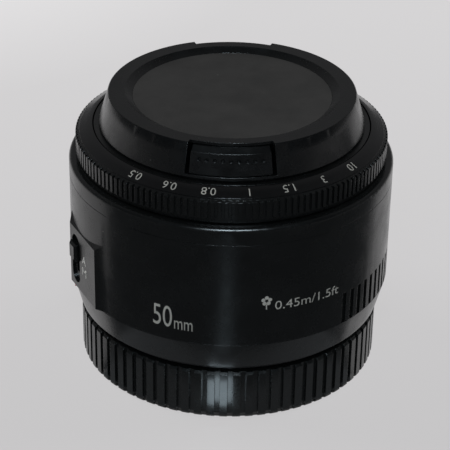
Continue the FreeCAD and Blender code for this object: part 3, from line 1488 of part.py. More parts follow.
def make_front_cap_shell():
    edge = CAP_EDGE
    shell = revolve([
        (0, CAP_ROOF_Z),
        (CAP_CAVITY_R, CAP_ROOF_Z),
        (CAP_CAVITY_R, FRONT_Z - CAP_SPIGOT_DROP),
        (CAP_SPIGOT_R, FRONT_Z - CAP_SPIGOT_DROP),
        (CAP_SPIGOT_R, CAP_BOTTOM_Z),
        (CAP_RIM_R - edge, CAP_BOTTOM_Z),
        (CAP_RIM_R, CAP_BOTTOM_Z + CAP_RIM_HEIGHT),
        (CAP_SHOULDER_R, CAP_TOP_Z - edge),
        (CAP_SHOULDER_R - edge, CAP_TOP_Z),
        (CAP_LIP_R, CAP_TOP_Z),
        (CAP_LIP_R - CAP_LIP_ROUND, CAP_TOP_Z - CAP_LIP_ROUND),
        (CAP_FACE_R, CAP_FACE_Z),
        (CAP_FACE_R, CAP_PLATE_Z),
        (0, CAP_PLATE_Z),
    ])
    hub = Part.makeBox(
        CAP_HUB_WIDTH, CAP_HUB_LENGTH, CAP_ROOF_Z + OVERLAP - TONGUE_LOW_Z,
        Vector(-CAP_HUB_WIDTH / 2, -CAP_HUB_LENGTH / 2, TONGUE_LOW_Z),
    )
    shell = shell.fuse(hub)
    for middle in (FRONT, BACK):
        shell = shell.cut(latch_space(middle))
    return shell


def latch_space(middle):
    """Window, pocket under the lip and foot gap that one latch moves in."""
    half = LATCH_HALF_ANGLE + LATCH_SIDE_GAP
    foot_half = LATCH_FOOT_HALF_ANGLE + LATCH_SIDE_GAP
    lip_z = CAP_TOP_Z - LATCH_LIP_THICK
    pocket_r = LATCH_WALL_IN_R - LATCH_TRAVEL - 1.5 * RUN
    foot_out_r = CAP_SPIGOT_R + LATCH_FOOT_CLEARANCE
    start = middle - half
    end = middle + half
    window = sector(LATCH_WINDOW_R, CAP_RIM_R + OVERCUT, start, end, CAP_BACK_Z, CAP_TOP_Z + OVERCUT)
    pocket = sector(pocket_r, LATCH_WINDOW_R + OVERLAP, start, end, CAP_BACK_Z, lip_z)
    foot = sector(
        CAP_CAVITY_R - OVERLAP, foot_out_r, middle - foot_half, middle + foot_half,
        FRONT_Z - CAP_SPIGOT_DROP - OVERCUT, CAP_BACK_Z + OVERLAP,
    )
    return [window, pocket, foot]


def make_latch(middle):
    """Finger tab, thread foot with its tooth, and tongue that the spring pushes."""
    low = CAP_BACK_Z + 2 * RUN
    bevel_z = LATCH_TOP_Z - LATCH_BEVEL_DROP
    tab = revolve([
        (LATCH_WALL_IN_R, low),
        (cap_side_radius(low) - LATCH_SURFACE_GAP, low),
        (cap_side_radius(bevel_z) - LATCH_SURFACE_GAP, bevel_z),
        (LATCH_BEVEL_R, LATCH_TOP_Z),
        (LATCH_WALL_IN_R, LATCH_TOP_Z),
    ])
    start = FRONT - LATCH_HALF_ANGLE
    tab = tab.common(wedge(start, start + 2 * LATCH_HALF_ANGLE, low - OVERCUT, CAP_TOP_Z + OVERCUT))
    dots = []
    dot_z = (low + bevel_z) / 2 + LATCH_DOT_RISE
    for i in range(LATCH_DOT_COUNT):
        angle = FRONT + LATCH_DOT_PITCH * (i - (LATCH_DOT_COUNT - 1) / 2)
        surface = cap_side_radius(dot_z) - LATCH_SURFACE_GAP
        dots.append(spoke(angle, dot_z, LATCH_DOT_R, surface - LATCH_DOT_DEPTH, surface + OVERCUT))
    tab = tab.cut(dots)
    foot_low = FRONT_Z - CAP_SPIGOT_DROP
    tooth_r = THREAD_MINOR_R - LATCH_TOOTH_GAP
    tooth_z = foot_low + THREAD_PITCH
    foot = revolve([
        (LATCH_FOOT_IN_R, foot_low),
        (CAP_SPIGOT_R, foot_low),
        (CAP_SPIGOT_R, foot_low + THREAD_PITCH / 2),
        (tooth_r, tooth_z),
        (CAP_SPIGOT_R, tooth_z + THREAD_PITCH / 2),
        (CAP_SPIGOT_R, low + OVERLAP),
        (LATCH_FOOT_IN_R, low + OVERLAP),
    ])
    start = FRONT - LATCH_FOOT_HALF_ANGLE
    foot = foot.common(wedge(start, start + 2 * LATCH_FOOT_HALF_ANGLE, foot_low - OVERCUT, CAP_TOP_Z))
    tongue_root = LATCH_WALL_IN_R + OVERLAP
    tongue = Part.makeBox(
        2 * LATCH_TONGUE_HALF_WIDTH, tongue_root - LATCH_TONGUE_END, TONGUE_HIGH_Z - TONGUE_LOW_Z,
        Vector(-LATCH_TONGUE_HALF_WIDTH, -tongue_root, TONGUE_LOW_Z),
    )
    latch = tab.fuse([foot, tongue]).removeSplitter()
    return turned(latch, middle - FRONT)


def make_cap_plate():
    return disc(CAP_FACE_R - SEAT, CAP_PLATE_Z, CAP_FACE_Z)


def make_cap_back_plate():
    plate = disc(CAP_CAVITY_R - SEAT, CAP_BACK_Z, CAP_BACK_TOP_Z)
    depth = LATCH_WALL_IN_R - LATCH_TRAVEL - 2 * RUN
    half = LATCH_HALF_ANGLE + LATCH_SIDE_GAP
    notches = [
        sector(
            depth, CAP_CAVITY_R + OVERCUT, middle - half, middle + half,
            CAP_BACK_Z - OVERCUT, CAP_BACK_TOP_Z + OVERCUT,
        )
        for middle in (FRONT, BACK)
    ]
    return plate.cut(notches)


def make_cap_spring(middle):
    """Compression coil between the cap's hub and a latch tongue."""
    gap = 2 * SPRING_WIRE_R
    start = CAP_HUB_LENGTH / 2 + gap
    length = LATCH_TONGUE_END - gap - start
    helix = Part.makeHelix(length / SPRING_TURNS, length, SPRING_R)
    section = Part.Wire([Part.makeCircle(SPRING_WIRE_R, Vector(SPRING_R, 0, 0), Vector(0, 1, 0))])
    coil = Part.Wire(helix.Edges).makePipeShell([section], True, True)
    coil.rotate(CENTRE, Vector(1, 0, 0), 90)
    coil.translate(Vector(0, -start, SPRING_Z))
    return turned(coil, middle - FRONT)


# All nodes

def build():
    nodes = {
        "rear_cap": make_rear_cap(),
        "mount_plate": make_mount_plate(),
        "mount_screws": group(make_mount_screws()),
        "rear_cover": make_rear_cover(),
        "contact_block": make_contact_block(),
        "gold_contacts": group(make_gold_contacts()),
        "contact_screws": group(make_contact_screws()),
        "rear_shell": make_rear_shell(),
        "main_barrel": make_main_barrel(),
        "front_collar": make_front_collar(),
        "index_dot": make_index_dot(),
        "switch_knob": make_switch_knob(),
        "fixed_tube": make_fixed_tube(),
        "cam_ring": make_cam_ring(),
        "cam_retainer": make_cam_retainer(),
        "focus_ring": make_focus_ring(),
        "focus_ring_screws": group(make_focus_ring_screws()),
        "name_ring": make_name_ring(),
        "inner_barrel": make_inner_barrel(),
        "guide_pins": group(make_guide_pins()),
        "filter_ring": make_filter_ring(),
        "filter_ring_screws": group(make_filter_screws()),
        "front_ring": make_front_ring(),
        "front_cell": make_front_cell(),
        "front_lens_retainer": make_front_retainer(),
        "front_spacer": make_front_spacer(),
        "rear_cell": make_rear_cell(),
        "rear_lens_retainer": make_rear_retainer(),
        "rear_spacer": make_rear_spacer(),
        "aperture_base": make_aperture_base(),
        "aperture_drive_ring": make_aperture_drive_ring(),
        "aperture_cover": make_aperture_cover(),
        "aperture_motor": make_aperture_motor(),
        "aperture_pinion": make_aperture_pinion(),
        "focus_motor": make_focus_motor(),
        "motor_pinion": make_motor_pinion(),
        "focus_gear_1": make_focus_gear_1(),
        "focus_gear_2": make_focus_gear_2(),
        "gear_shafts": group(gear_shaft_pins()),
        "gear_bracket": make_gear_bracket(),
        "bracket_screws": group(bracket_screw_list()),
        "circuit_board": make_circuit_board(),
        "front_cap_shell": make_front_cap_shell(),
        "front_cap_plate": make_cap_plate(),
        "cap_back_plate": make_cap_back_plate(),
        "cap_latch_front": make_latch(FRONT),
        "cap_latch_back": make_latch(BACK),
        "cap_spring_front": make_cap_spring(FRONT),
        "cap_spring_back": make_cap_spring(BACK),
    }
    glasses = [FRONT_GLASS, SECOND_GLASS, THIRD_GLASS, FOURTH_GLASS, FIFTH_GLASS, SIXTH_GLASS]
    for number, glass in enumerate(glasses, 1):
        nodes["lens_element_%d" % number] = lens_element(glass)
    for index in range(BLADE_COUNT):
        nodes["aperture_blade_%d" % (index + 1)] = make_blade(index)
    return nodes


os.makedirs("parts", exist_ok=True)
for name, shape in build().items():
    shape.exportStep("parts/%s.step" % name)
    print("%-22s solids %d valid %s volume %.2f" % (name, len(shape.Solids), shape.isValid(), shape.Volume))
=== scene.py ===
import bmesh
import bpy
import json
import math
from mathutils import Matrix, Vector


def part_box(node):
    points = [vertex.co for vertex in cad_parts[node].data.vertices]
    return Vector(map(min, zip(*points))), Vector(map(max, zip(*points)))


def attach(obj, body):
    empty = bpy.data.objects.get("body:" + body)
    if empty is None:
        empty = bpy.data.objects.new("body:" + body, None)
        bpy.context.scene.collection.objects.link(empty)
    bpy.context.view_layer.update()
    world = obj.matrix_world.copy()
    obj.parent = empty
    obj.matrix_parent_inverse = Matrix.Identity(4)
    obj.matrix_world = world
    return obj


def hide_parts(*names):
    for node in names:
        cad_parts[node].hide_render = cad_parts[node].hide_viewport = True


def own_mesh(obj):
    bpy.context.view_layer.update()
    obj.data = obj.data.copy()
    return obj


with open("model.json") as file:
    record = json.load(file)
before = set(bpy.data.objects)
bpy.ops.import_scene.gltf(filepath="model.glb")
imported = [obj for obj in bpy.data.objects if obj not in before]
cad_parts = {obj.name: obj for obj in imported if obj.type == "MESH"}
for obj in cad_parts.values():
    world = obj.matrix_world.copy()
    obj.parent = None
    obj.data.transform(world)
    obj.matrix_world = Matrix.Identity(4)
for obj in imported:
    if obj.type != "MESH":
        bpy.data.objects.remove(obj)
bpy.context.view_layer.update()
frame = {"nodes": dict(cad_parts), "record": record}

# A prime lens that stands on its rear cap, dressed round its CAD model.
# Outlines are in millimetres and objects in metres. The optical axis is Z,
# z = 0 is the floor, and -Y is the side with the focal length on it.

MM = 0.001
FRONT = -90.0

# Sizes shared with the CAD model, in millimetres and degrees
BARREL_R = 34.1
PANEL_ANGLE = 63.0
PANEL_DISTANCE = 34.3
NAME_RING_LOW = (31.84, 51.75)
NAME_RING_HIGH = (29.2, 53.1)


# Shader helpers

def new_material(name):
    material = bpy.data.materials.new(name)
    material.use_nodes = True
    shader = material.node_tree.nodes["Principled BSDF"]
    return material, shader


def add_node(material, kind, **settings):
    """Adds a shader node to a material, or to the world."""
    node = material.node_tree.nodes.new(kind)
    for key, value in settings.items():
        setattr(node, key, value)
    return node


def link(material, output, socket):
    material.node_tree.links.new(output, socket)


def noise(material, feature_mm, detail=3.0, roughness=0.55):
    """Noise in the object's own space whose features are about that size."""
    place = add_node(material, "ShaderNodeTexCoord")
    texture = add_node(material, "ShaderNodeTexNoise")
    texture.inputs["Scale"].default_value = 1.0 / (feature_mm * MM)
    texture.inputs["Detail"].default_value = detail
    texture.inputs["Roughness"].default_value = roughness
    link(material, place.outputs["Object"], texture.inputs["Vector"])
    return texture.outputs["Fac"]


def spread(material, value, low, high, start=0.35, end=0.65):
    """Maps a value from start to end, such as the middle of a noise, to a range."""
    node = add_node(material, "ShaderNodeMapRange")
    node.inputs["From Min"].default_value = start
    node.inputs["From Max"].default_value = end
    node.inputs["To Min"].default_value = low
    node.inputs["To Max"].default_value = high
    link(material, value, node.inputs["Value"])
    return node.outputs["Result"]


def combine(material, operation, first, second):
    """Math node on an output and on either another output or a number."""
    node = add_node(material, "ShaderNodeMath", operation=operation)
    link(material, first, node.inputs[0])
    if isinstance(second, bpy.types.NodeSocket):
        link(material, second, node.inputs[1])
    else:
        node.inputs[1].default_value = second
    return node.outputs[0]


def mix_colour(material, factor, first, second):
    node = add_node(material, "ShaderNodeMix", data_type="RGBA")
    link(material, factor, node.inputs["Factor"])
    for socket, value in ((node.inputs[6], first), (node.inputs[7], second)):
        if isinstance(value, bpy.types.NodeSocket):
            link(material, value, socket)
        else:
            socket.default_value = (*value, 1.0)
    return node.outputs[2]


SPECK_CORE = 0.6


def specks(material, spacing_mm, size, share):
    """Small round spots in a share of the cells, for dust."""
    place = add_node(material, "ShaderNodeTexCoord")
    cells = add_node(material, "ShaderNodeTexVoronoi")
    cells.inputs["Scale"].default_value = 1.0 / (spacing_mm * MM)
    link(material, place.outputs["Object"], cells.inputs["Vector"])
    split = add_node(material, "ShaderNodeSeparateColor")
    link(material, cells.outputs["Color"], split.inputs["Color"])
    chosen = combine(material, "LESS_THAN", split.outputs["Red"], share)
    near = spread(material, cells.outputs["Distance"], 1.0, 0.0, size * SPECK_CORE, size)
    return combine(material, "MULTIPLY", chosen, near)


EDGE_ROUND = 0.14
EDGE_SAMPLES = 6


def bump(material, shader, height, depth_mm):
    """Fine relief, over edges that catch the light as if slightly rounded."""
    edge = add_node(material, "ShaderNodeBevel", samples=EDGE_SAMPLES)
    edge.inputs["Radius"].default_value = EDGE_ROUND * MM
    node = add_node(material, "ShaderNodeBump")
    node.inputs["Distance"].default_value = depth_mm * MM
    link(material, height, node.inputs["Height"])
    link(material, edge.outputs["Normal"], node.inputs["Normal"])
    link(material, node.outputs["Normal"], shader.inputs["Normal"])


def scaled(colour, factor):
    return tuple(part * factor for part in colour)


DUST = (0.30, 0.29, 0.27)
DUST_SPACING = 1.6
DUST_SIZE = 0.07
PATCH_SIZE = 9.0
PATCH_DARK = 0.86
PATCH_LIGHT = 1.14
SMUDGE_SIZE = 5.0


def plastic(name, colour, rough, grain_mm, grain_depth_mm, specular, dust=0.0, smudge=0.06):
    """Moulded plastic: a fine eroded grain, handling smudges and a little dust."""
    material, shader = new_material(name)
    shade = spread(material, noise(material, PATCH_SIZE, detail=4.0), 0.0, 1.0)
    base = mix_colour(material, shade, scaled(colour, PATCH_DARK), scaled(colour, PATCH_LIGHT))
    if dust:
        base = mix_colour(material, specks(material, DUST_SPACING, DUST_SIZE, dust), base, DUST)
    link(material, base, shader.inputs["Base Color"])
    wipe = noise(material, SMUDGE_SIZE, detail=5.0, roughness=0.65)
    gloss = spread(material, wipe, rough - smudge, rough + smudge)
    link(material, gloss, shader.inputs["Roughness"])
    shader.inputs["Specular IOR Level"].default_value = specular
    bump(material, shader, noise(material, grain_mm, detail=2.0), grain_depth_mm)
    return material


METAL_PATCH = 3.0
METAL_DARK = 0.9
TUMBLED_SIZE = 0.25
TUMBLED_DEPTH = 0.003
METAL_WIPE_SIZE = 1.0


def metal(name, colour, rough):
    """Metal with a fine turned or tumbled finish."""
    material, shader = new_material(name)
    shade = spread(material, noise(material, METAL_PATCH, detail=4.0), 0.0, 1.0)
    base = mix_colour(material, shade, scaled(colour, METAL_DARK), colour)
    link(material, base, shader.inputs["Base Color"])
    shader.inputs["Metallic"].default_value = 1.0
    wipe = noise(material, METAL_WIPE_SIZE, detail=5.0)
    gloss = spread(material, wipe, rough * 0.75, rough * 1.25)
    link(material, gloss, shader.inputs["Roughness"])
    bump(material, shader, noise(material, TUMBLED_SIZE), TUMBLED_DEPTH)
    return material


HAZE_SPACING = 1.4
HAZE_SIZE = 0.06
HAZE_SHARE = 0.10
HAZE_ROUGH = 0.5


def coated_glass():
    """Optical glass with a thin coating and a trace of dust."""
    material, shader = new_material("coated_glass")
    shader.inputs["Transmission Weight"].default_value = 1.0
    shader.inputs["IOR"].default_value = 1.6
    shader.inputs["Thin Film Thickness"].default_value = 330.0
    shader.inputs["Thin Film IOR"].default_value = 1.38
    haze = specks(material, HAZE_SPACING, HAZE_SIZE, HAZE_SHARE)
    base = mix_colour(material, haze, (0.97, 0.99, 0.98), (0.80, 0.80, 0.78))
    link(material, base, shader.inputs["Base Color"])
    gloss = spread(material, haze, 0.0, HAZE_ROUGH, start=0.0, end=1.0)
    link(material, gloss, shader.inputs["Roughness"])
    return material


TRACK_PITCH = 2.2
TRACK_RELIEF = 0.03


def circuit_board():
    """Green solder mask with paler copper tracks under it."""
    material, shader = new_material("circuit_board")
    place = add_node(material, "ShaderNodeTexCoord")
    tracks = add_node(material, "ShaderNodeTexBrick")
    tracks.inputs["Scale"].default_value = 1.0 / (TRACK_PITCH * MM)
    tracks.inputs["Mortar Size"].default_value = 0.08
    tracks.inputs["Color1"].default_value = (0.012, 0.07, 0.03, 1)
    tracks.inputs["Color2"].default_value = (0.014, 0.08, 0.035, 1)
    tracks.inputs["Mortar"].default_value = (0.03, 0.14, 0.06, 1)
    link(material, place.outputs["Object"], tracks.inputs["Vector"])
    link(material, tracks.outputs["Color"], shader.inputs["Base Color"])
    shader.inputs["Roughness"].default_value = 0.35
    bump(material, shader, tracks.outputs["Fac"], TRACK_RELIEF)
    return material


# Colour, roughness, size and depth of the grain in millimetres, specular level, and where it
# matters the share of dust and the strength of the smudges
PLASTICS = {
    "barrel_plastic": ((0.0066, 0.0072, 0.0072), 0.25, 0.22, 0.008, 0.46, 0.020),
    "ring_plastic": ((0.0055, 0.0060, 0.0060), 0.27, 0.20, 0.006, 0.48, 0.030),
    "gloss_black": ((0.0050, 0.0052, 0.0056), 0.16, 0.30, 0.002, 0.50, 0.020, 0.04),
    "cap_plastic": ((0.0050, 0.0054, 0.0056), 0.27, 0.22, 0.006, 0.45, 0.030),
    "cap_face": ((0.0370, 0.0360, 0.0345), 0.50, 0.30, 0.020, 0.44, 0.030),
    "rear_cap_plastic": ((0.0080, 0.0088, 0.0086), 0.26, 0.24, 0.006, 0.46, 0.025),
    "inner_plastic": ((0.012, 0.012, 0.013), 0.62, 0.20, 0.012, 0.35),
    "mount_plastic": ((0.010, 0.010, 0.011), 0.30, 0.30, 0.006, 0.50),
    "white_plastic": ((0.74, 0.73, 0.68), 0.40, 0.30, 0.006, 0.50),
    "red_plastic": ((0.52, 0.018, 0.020), 0.30, 0.30, 0.006, 0.50),
    "black_steel": ((0.016, 0.016, 0.017), 0.38, 0.25, 0.006, 0.60),
}

# Colour and roughness
METALS = {
    "steel": ((0.60, 0.60, 0.62), 0.30),
    "brass": ((0.74, 0.56, 0.26), 0.30),
    "aluminium": ((0.72, 0.73, 0.74), 0.34),
    "gold": ((0.86, 0.62, 0.24), 0.22),
}

FINISHES = {name: plastic(name, *look) for name, look in PLASTICS.items()}
FINISHES.update({name: metal(name, *look) for name, look in METALS.items()})
FINISHES["glass"] = coated_glass()
FINISHES["board"] = circuit_board()
PAINT = plastic("white_paint", (0.58, 0.57, 0.52), 0.45, 0.15, 0.004, 0.40)
# Painted light: a paler copy of the white paint for the letters by the switch, which face the
# light at a grazing angle
SWITCH_PAINT_PAINTED_LIGHT = plastic("paint_with_painted_light", (0.86, 0.85, 0.80), 0.45, 0.15, 0.004, 0.40)


# Soft shading with crisp edges

WELD_DISTANCE = 0.0005 * MM
SHARP_ANGLE = 28.0


def smooth_by_angle():
    """Modifier tree: welds a mesh and shades it smooth apart from its real edges."""
    tree = bpy.data.node_groups.new("smooth_by_angle", "GeometryNodeTree")
    tree.interface.new_socket("Geometry", in_out="INPUT", socket_type="NodeSocketGeometry")
    tree.interface.new_socket("Geometry", in_out="OUTPUT", socket_type="NodeSocketGeometry")
    start = tree.nodes.new("NodeGroupInput")
    end = tree.nodes.new("NodeGroupOutput")
    weld = tree.nodes.new("GeometryNodeMergeByDistance")
    weld.inputs["Distance"].default_value = WELD_DISTANCE
    faces = tree.nodes.new("GeometryNodeSetShadeSmooth")
    faces.domain = "FACE"
    edges = tree.nodes.new("GeometryNodeSetShadeSmooth")
    edges.domain = "EDGE"
    edges.inputs["Shade Smooth"].default_value = False
    angle = tree.nodes.new("GeometryNodeInputMeshEdgeAngle")
    sharp = tree.nodes.new("FunctionNodeCompare")
    sharp.operation = "GREATER_THAN"
    sharp.inputs["B"].default_value = math.radians(SHARP_ANGLE)
    tree.links.new(start.outputs[0], weld.inputs["Geometry"])
    tree.links.new(weld.outputs["Geometry"], faces.inputs["Geometry"])
    tree.links.new(faces.outputs["Geometry"], edges.inputs["Geometry"])
    tree.links.new(angle.outputs["Unsigned Angle"], sharp.inputs["A"])
    tree.links.new(sharp.outputs["Result"], edges.inputs["Selection"])
    tree.links.new(edges.outputs["Geometry"], end.inputs[0])
    return tree


SMOOTH_TREE = smooth_by_angle()


def soften(piece):
    modifier = piece.modifiers.new("Smooth", "NODES")
    modifier.node_group = SMOOTH_TREE


def dress_cad_nodes():
    slots = {part["node"]: part["material_slot"] for part in frame["record"]["subparts"]}
    for name, piece in frame["nodes"].items():
        piece.data.materials.clear()
        piece.data.materials.append(FINISHES[slots[name]])
        soften(piece)


# Mesh helpers for the pieces made here

def polar(radius, degrees, height):
    """Point round the optical axis, in metres."""
    angle = math.radians(degrees)
    return Vector((radius * math.cos(angle), radius * math.sin(angle), height)) * MM


def make_piece(name, mesh, finish, body):
    piece = bpy.data.objects.new(name, mesh)
    bpy.context.scene.collection.objects.link(piece)
    mesh.materials.clear()
    mesh.materials.append(finish)
    soften(piece)
    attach(piece, body)
    return piece


# Coils behind the cap's latches, which in the real cap shorten as a latch is pressed

COIL_TURNS = 7
COIL_STEPS = 28
WIRE_SIDES = 10
WIRE_R = 0.15 * MM


def coil_mesh(middle_x, middle_z, start_y, end_y, radius):
    """Round wire wound along Y, with its two ends closed."""
    shape = bmesh.new()
    count = COIL_TURNS * COIL_STEPS
    rings = []
    for step in range(count + 1):
        turn = 2 * math.pi * step / COIL_STEPS
        outward = Vector((math.cos(turn), 0, math.sin(turn)))
        y = start_y + (end_y - start_y) * step / count
        centre = Vector((middle_x, y, middle_z)) + outward * radius
        ring = []
        for side in range(WIRE_SIDES):
            angle = 2 * math.pi * side / WIRE_SIDES
            offset = outward * math.cos(angle) + Vector((0, 1, 0)) * math.sin(angle)
            ring.append(shape.verts.new(centre + offset * WIRE_R))
        rings.append(ring)
    for first, second in zip(rings, rings[1:]):
        for side in range(WIRE_SIDES):
            following = (side + 1) % WIRE_SIDES
            shape.faces.new((first[side], first[following], second[following], second[side]))
    shape.faces.new(rings[0])
    shape.faces.new(rings[-1])
    bmesh.ops.recalc_face_normals(shape, faces=shape.faces)
    mesh = bpy.data.meshes.new("coil")
    shape.to_mesh(mesh)
    shape.free()
    return mesh


def add_coils():
    """A coil for each latch, in place of the CAD spring."""
    for side in ("front", "back"):
        node = "cap_spring_%s" % side
        low, high = (Vector(corner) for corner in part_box(node))
        middle = (low + high) / 2
        radius = (high.x - low.x) / 2 - WIRE_R
        mesh = coil_mesh(middle.x, middle.z, low.y + WIRE_R, high.y - WIRE_R, radius)
        coil = make_piece("coil_%s" % side, mesh, FINISHES["steel"], "front_cap")
        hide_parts(node)
        fixed_end = min(low.y, high.y, key=abs)
        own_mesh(coil)


# Numbers and marks, as thin raised paint

PAINT_LIFT = 0.012
PAINT_THICK = 0.03
SLICE = 0.5
SAME_POINT = 0.001
TEXT_STEPS = 6


def flat_text(text, height, width):
    """Text centred in the XY plane, in millimetres. Width None keeps its proportions."""
    curve = bpy.data.curves.new("text", "FONT")
    curve.body = text
    curve.align_x = "CENTER"
    curve.align_y = "CENTER"
    curve.size = 1.0
    curve.extrude = 0.5
    curve.resolution_u = TEXT_STEPS
    holder = bpy.data.objects.new("text", curve)
    bpy.context.scene.collection.objects.link(holder)
    bpy.context.view_layer.update()
    mesh = bpy.data.meshes.new_from_object(holder)
    bpy.data.objects.remove(holder)
    low_x = min(vertex.co.x for vertex in mesh.vertices)
    high_x = max(vertex.co.x for vertex in mesh.vertices)
    low_y = min(vertex.co.y for vertex in mesh.vertices)
    high_y = max(vertex.co.y for vertex in mesh.vertices)
    scale_y = height / (high_y - low_y)
    scale_x = width / (high_x - low_x) if width else scale_y
    for vertex in mesh.vertices:
        vertex.co.x = (vertex.co.x - (low_x + high_x) / 2) * scale_x
        vertex.co.y = (vertex.co.y - (low_y + high_y) / 2) * scale_y
        vertex.co.z = vertex.co.z * PAINT_THICK
    return mesh


def sliced(mesh):
    """Cuts a flat mesh into narrow upright strips so that it can bend."""
    shape = bmesh.new()
    shape.from_mesh(mesh)
    bmesh.ops.remove_doubles(shape, verts=shape.verts, dist=SAME_POINT)
    low = min(vertex.co.x for vertex in shape.verts)
    high = max(vertex.co.x for vertex in shape.verts)
    for step in range(1, int((high - low) / SLICE) + 1):
        bmesh.ops.bisect_plane(
            shape, geom=shape.verts[:] + shape.edges[:] + shape.faces[:],
            plane_co=(low + step * SLICE, 0, 0), plane_no=(1, 0, 0),
        )
    shape.to_mesh(mesh)
    shape.free()


def wrap(mesh, place):
    """Moves each (x, y, depth) point of a flat mesh to place(x, y, depth), in metres."""
    sliced(mesh)
    for vertex in mesh.vertices:
        x, y, depth = vertex.co
        vertex.co = place(x, y, depth + PAINT_LIFT)
    mesh.update()


def on_barrel(angle_left, middle_z):
    """Places a mark on the barrel, its middle so many degrees left of the front."""
    def place(x, y, depth):
        azimuth = FRONT - angle_left + math.degrees(x / BARREL_R)
        return polar(BARREL_R + depth, azimuth, middle_z + y)
    return place


def on_panel(offset, middle_z):
    """Places a mark on the flat switch platform."""
    azimuth = math.radians(FRONT - PANEL_ANGLE)
    out = Vector((math.cos(azimuth), math.sin(azimuth), 0))
    along = Vector((-math.sin(azimuth), math.cos(azimuth), 0))

    def place(x, y, depth):
        point = out * (PANEL_DISTANCE + depth) + along * (offset + x)
        point.z = middle_z + y
        return point * MM
    return place


def on_name_ring(angle_left):
    """Places a mark halfway down the cone of the name ring, with its top pointing outwards."""
    slope = Vector(NAME_RING_LOW) - Vector(NAME_RING_HIGH)
    middle = slope.length / 2
    slope.normalize()
    outward = Vector((-slope.y, slope.x))
    middle_radius = NAME_RING_HIGH[0] + slope.x * middle

    def place(x, y, depth):
        point = Vector(NAME_RING_HIGH) + slope * (middle + y) + outward * depth
        azimuth = FRONT - angle_left - math.degrees(x / middle_radius)
        return polar(point.x, azimuth, point.y)
    return place


def mark(name, text, height, width, place, body, finish=PAINT):
    mesh = flat_text(text, height, width)
    wrap(mesh, place)
    return make_piece(name, mesh, finish, body)


def flat_outline(points):
    """Flat plate from an outline of (x, y) points in millimetres."""
    shape = bmesh.new()
    face = shape.faces.new([shape.verts.new((x, y, -PAINT_THICK / 2)) for x, y in points])
    grown = bmesh.ops.extrude_face_region(shape, geom=[face])
    moved = [item for item in grown["geom"] if isinstance(item, bmesh.types.BMVert)]
    bmesh.ops.translate(shape, verts=moved, vec=(0, 0, PAINT_THICK))
    bmesh.ops.recalc_face_normals(shape, faces=shape.faces)
    mesh = bpy.data.meshes.new("outline")
    shape.to_mesh(mesh)
    shape.free()
    return mesh


DISC_SIDES = 20


def flat_disc(radius, x, y):
    angles = [2 * math.pi * index / DISC_SIDES for index in range(DISC_SIDES)]
    return [(x + radius * math.cos(angle), y + radius * math.sin(angle)) for angle in angles]


def shape_mark(name, points, place, body):
    mesh = flat_outline(points)
    wrap(mesh, place)
    return make_piece(name, mesh, PAINT, body)


FLOWER_PLACE = on_barrel(-12.9, 29.0)
PETALS = 5
PETAL_R = 0.42
PETAL_RING_R = 0.72
FLOWER_RISE = 0.5
STEM = [(-0.14, -1.5), (0.14, -1.5), (0.14, -0.35), (-0.14, -0.35)]


def add_flower():
    """Close-focus sign: round petals on a stem."""
    for index in range(PETALS):
        turn = math.radians(90 + 360 / PETALS * index)
        x = PETAL_RING_R * math.cos(turn)
        y = PETAL_RING_R * math.sin(turn) + FLOWER_RISE
        shape_mark("mark_petal_%d" % index, flat_disc(PETAL_R, x, y), FLOWER_PLACE, "barrel")
    shape_mark("mark_stem", STEM, FLOWER_PLACE, "barrel")


# Distances on the name ring, from the left to the right
DISTANCES = ("0.5", "0.6", "0.8", "1", "1.5", "3", "10")
DISTANCE_START = 38.0
DISTANCE_STEP = 15.0
DISTANCE_HEIGHT = 1.75


# Marks on the barrel: name, text, height, width, degrees left of the front, height of the middle
BARREL_MARKS = [
    ("mark_focal_length", "50", 4.9, 4.2, 22.85, 24.6),
    ("mark_focal_unit", "mm", 2.0, 3.9, 15.3, 23.0),
    ("mark_close_focus", "0.45m/1.5ft", 2.0, 14.8, -28.3, 28.2),
]

# Letters by the switch: name, letter, height, width, height of the middle
SWITCH_MARKS = [
    ("mark_switch_upper", "A", 1.9, 2.0, 27.9),
    ("mark_switch_lower", "M", 1.9, 2.2, 25.1),
]
SWITCH_MARK_OFFSET = 0.9


def add_markings():
    for name, text, height, width, angle_left, middle_z in BARREL_MARKS:
        mark(name, text, height, width, on_barrel(angle_left, middle_z), "barrel")
    add_flower()
    for name, text, height, width, middle_z in SWITCH_MARKS:
        place = on_panel(SWITCH_MARK_OFFSET, middle_z)
        # The letters by the switch take the paler copy of the white paint, as painted light
        mark(name, text, height, width, place, "barrel", SWITCH_PAINT_PAINTED_LIGHT)
    for step, text in enumerate(DISTANCES):
        place = on_name_ring(DISTANCE_START - step * DISTANCE_STEP)
        label = "mark_distance_%s" % text.replace(".", "_")
        mark(label, text, DISTANCE_HEIGHT, None, place, "focus_ring")


# Room: a pale floor, a pale surround, a dim side towards the camera

ROOM_PALE = (0.625, 0.615, 0.620)
ROOM_BACK = (0.150, 0.150, 0.154)
ROOM_DARK = (0.035, 0.038, 0.042)
FLOOR_COLOUR = (0.66, 0.652, 0.656)


def add_stage_piece(name, corners, material):
    mesh = bpy.data.meshes.new(name)
    mesh.from_pydata([Vector(c) for c in corners], [], [tuple(range(len(corners)))])
    piece = bpy.data.objects.new(name, mesh)
    bpy.context.scene.collection.objects.link(piece)
    mesh.materials.append(material)
    return piece


def rectangle(low_x, high_x, low_y, high_y, height):
    return [
        (low_x, low_y, height), (high_x, low_y, height),
        (high_x, high_y, height), (low_x, high_y, height),
    ]


FLOOR_REACH = 6
FLOOR_GLOW = (0.706, 0.695, 0.702)
FLOOR_GLOW_SHARE = 0.80
# Painted light in the floor's glow: brighter from GLOW_NEAR to GLOW_FAR, and a painted pool of
# light round CORNER_PLACE
GLOW_NEAR = (-0.04, 0.93)
GLOW_FAR = (0.19, 1.06)
CORNER_PLACE = (-0.12, 0.24, 0.0)
CORNER_REACH = (0.02, 0.13)
CORNER_GLOW = 0.26


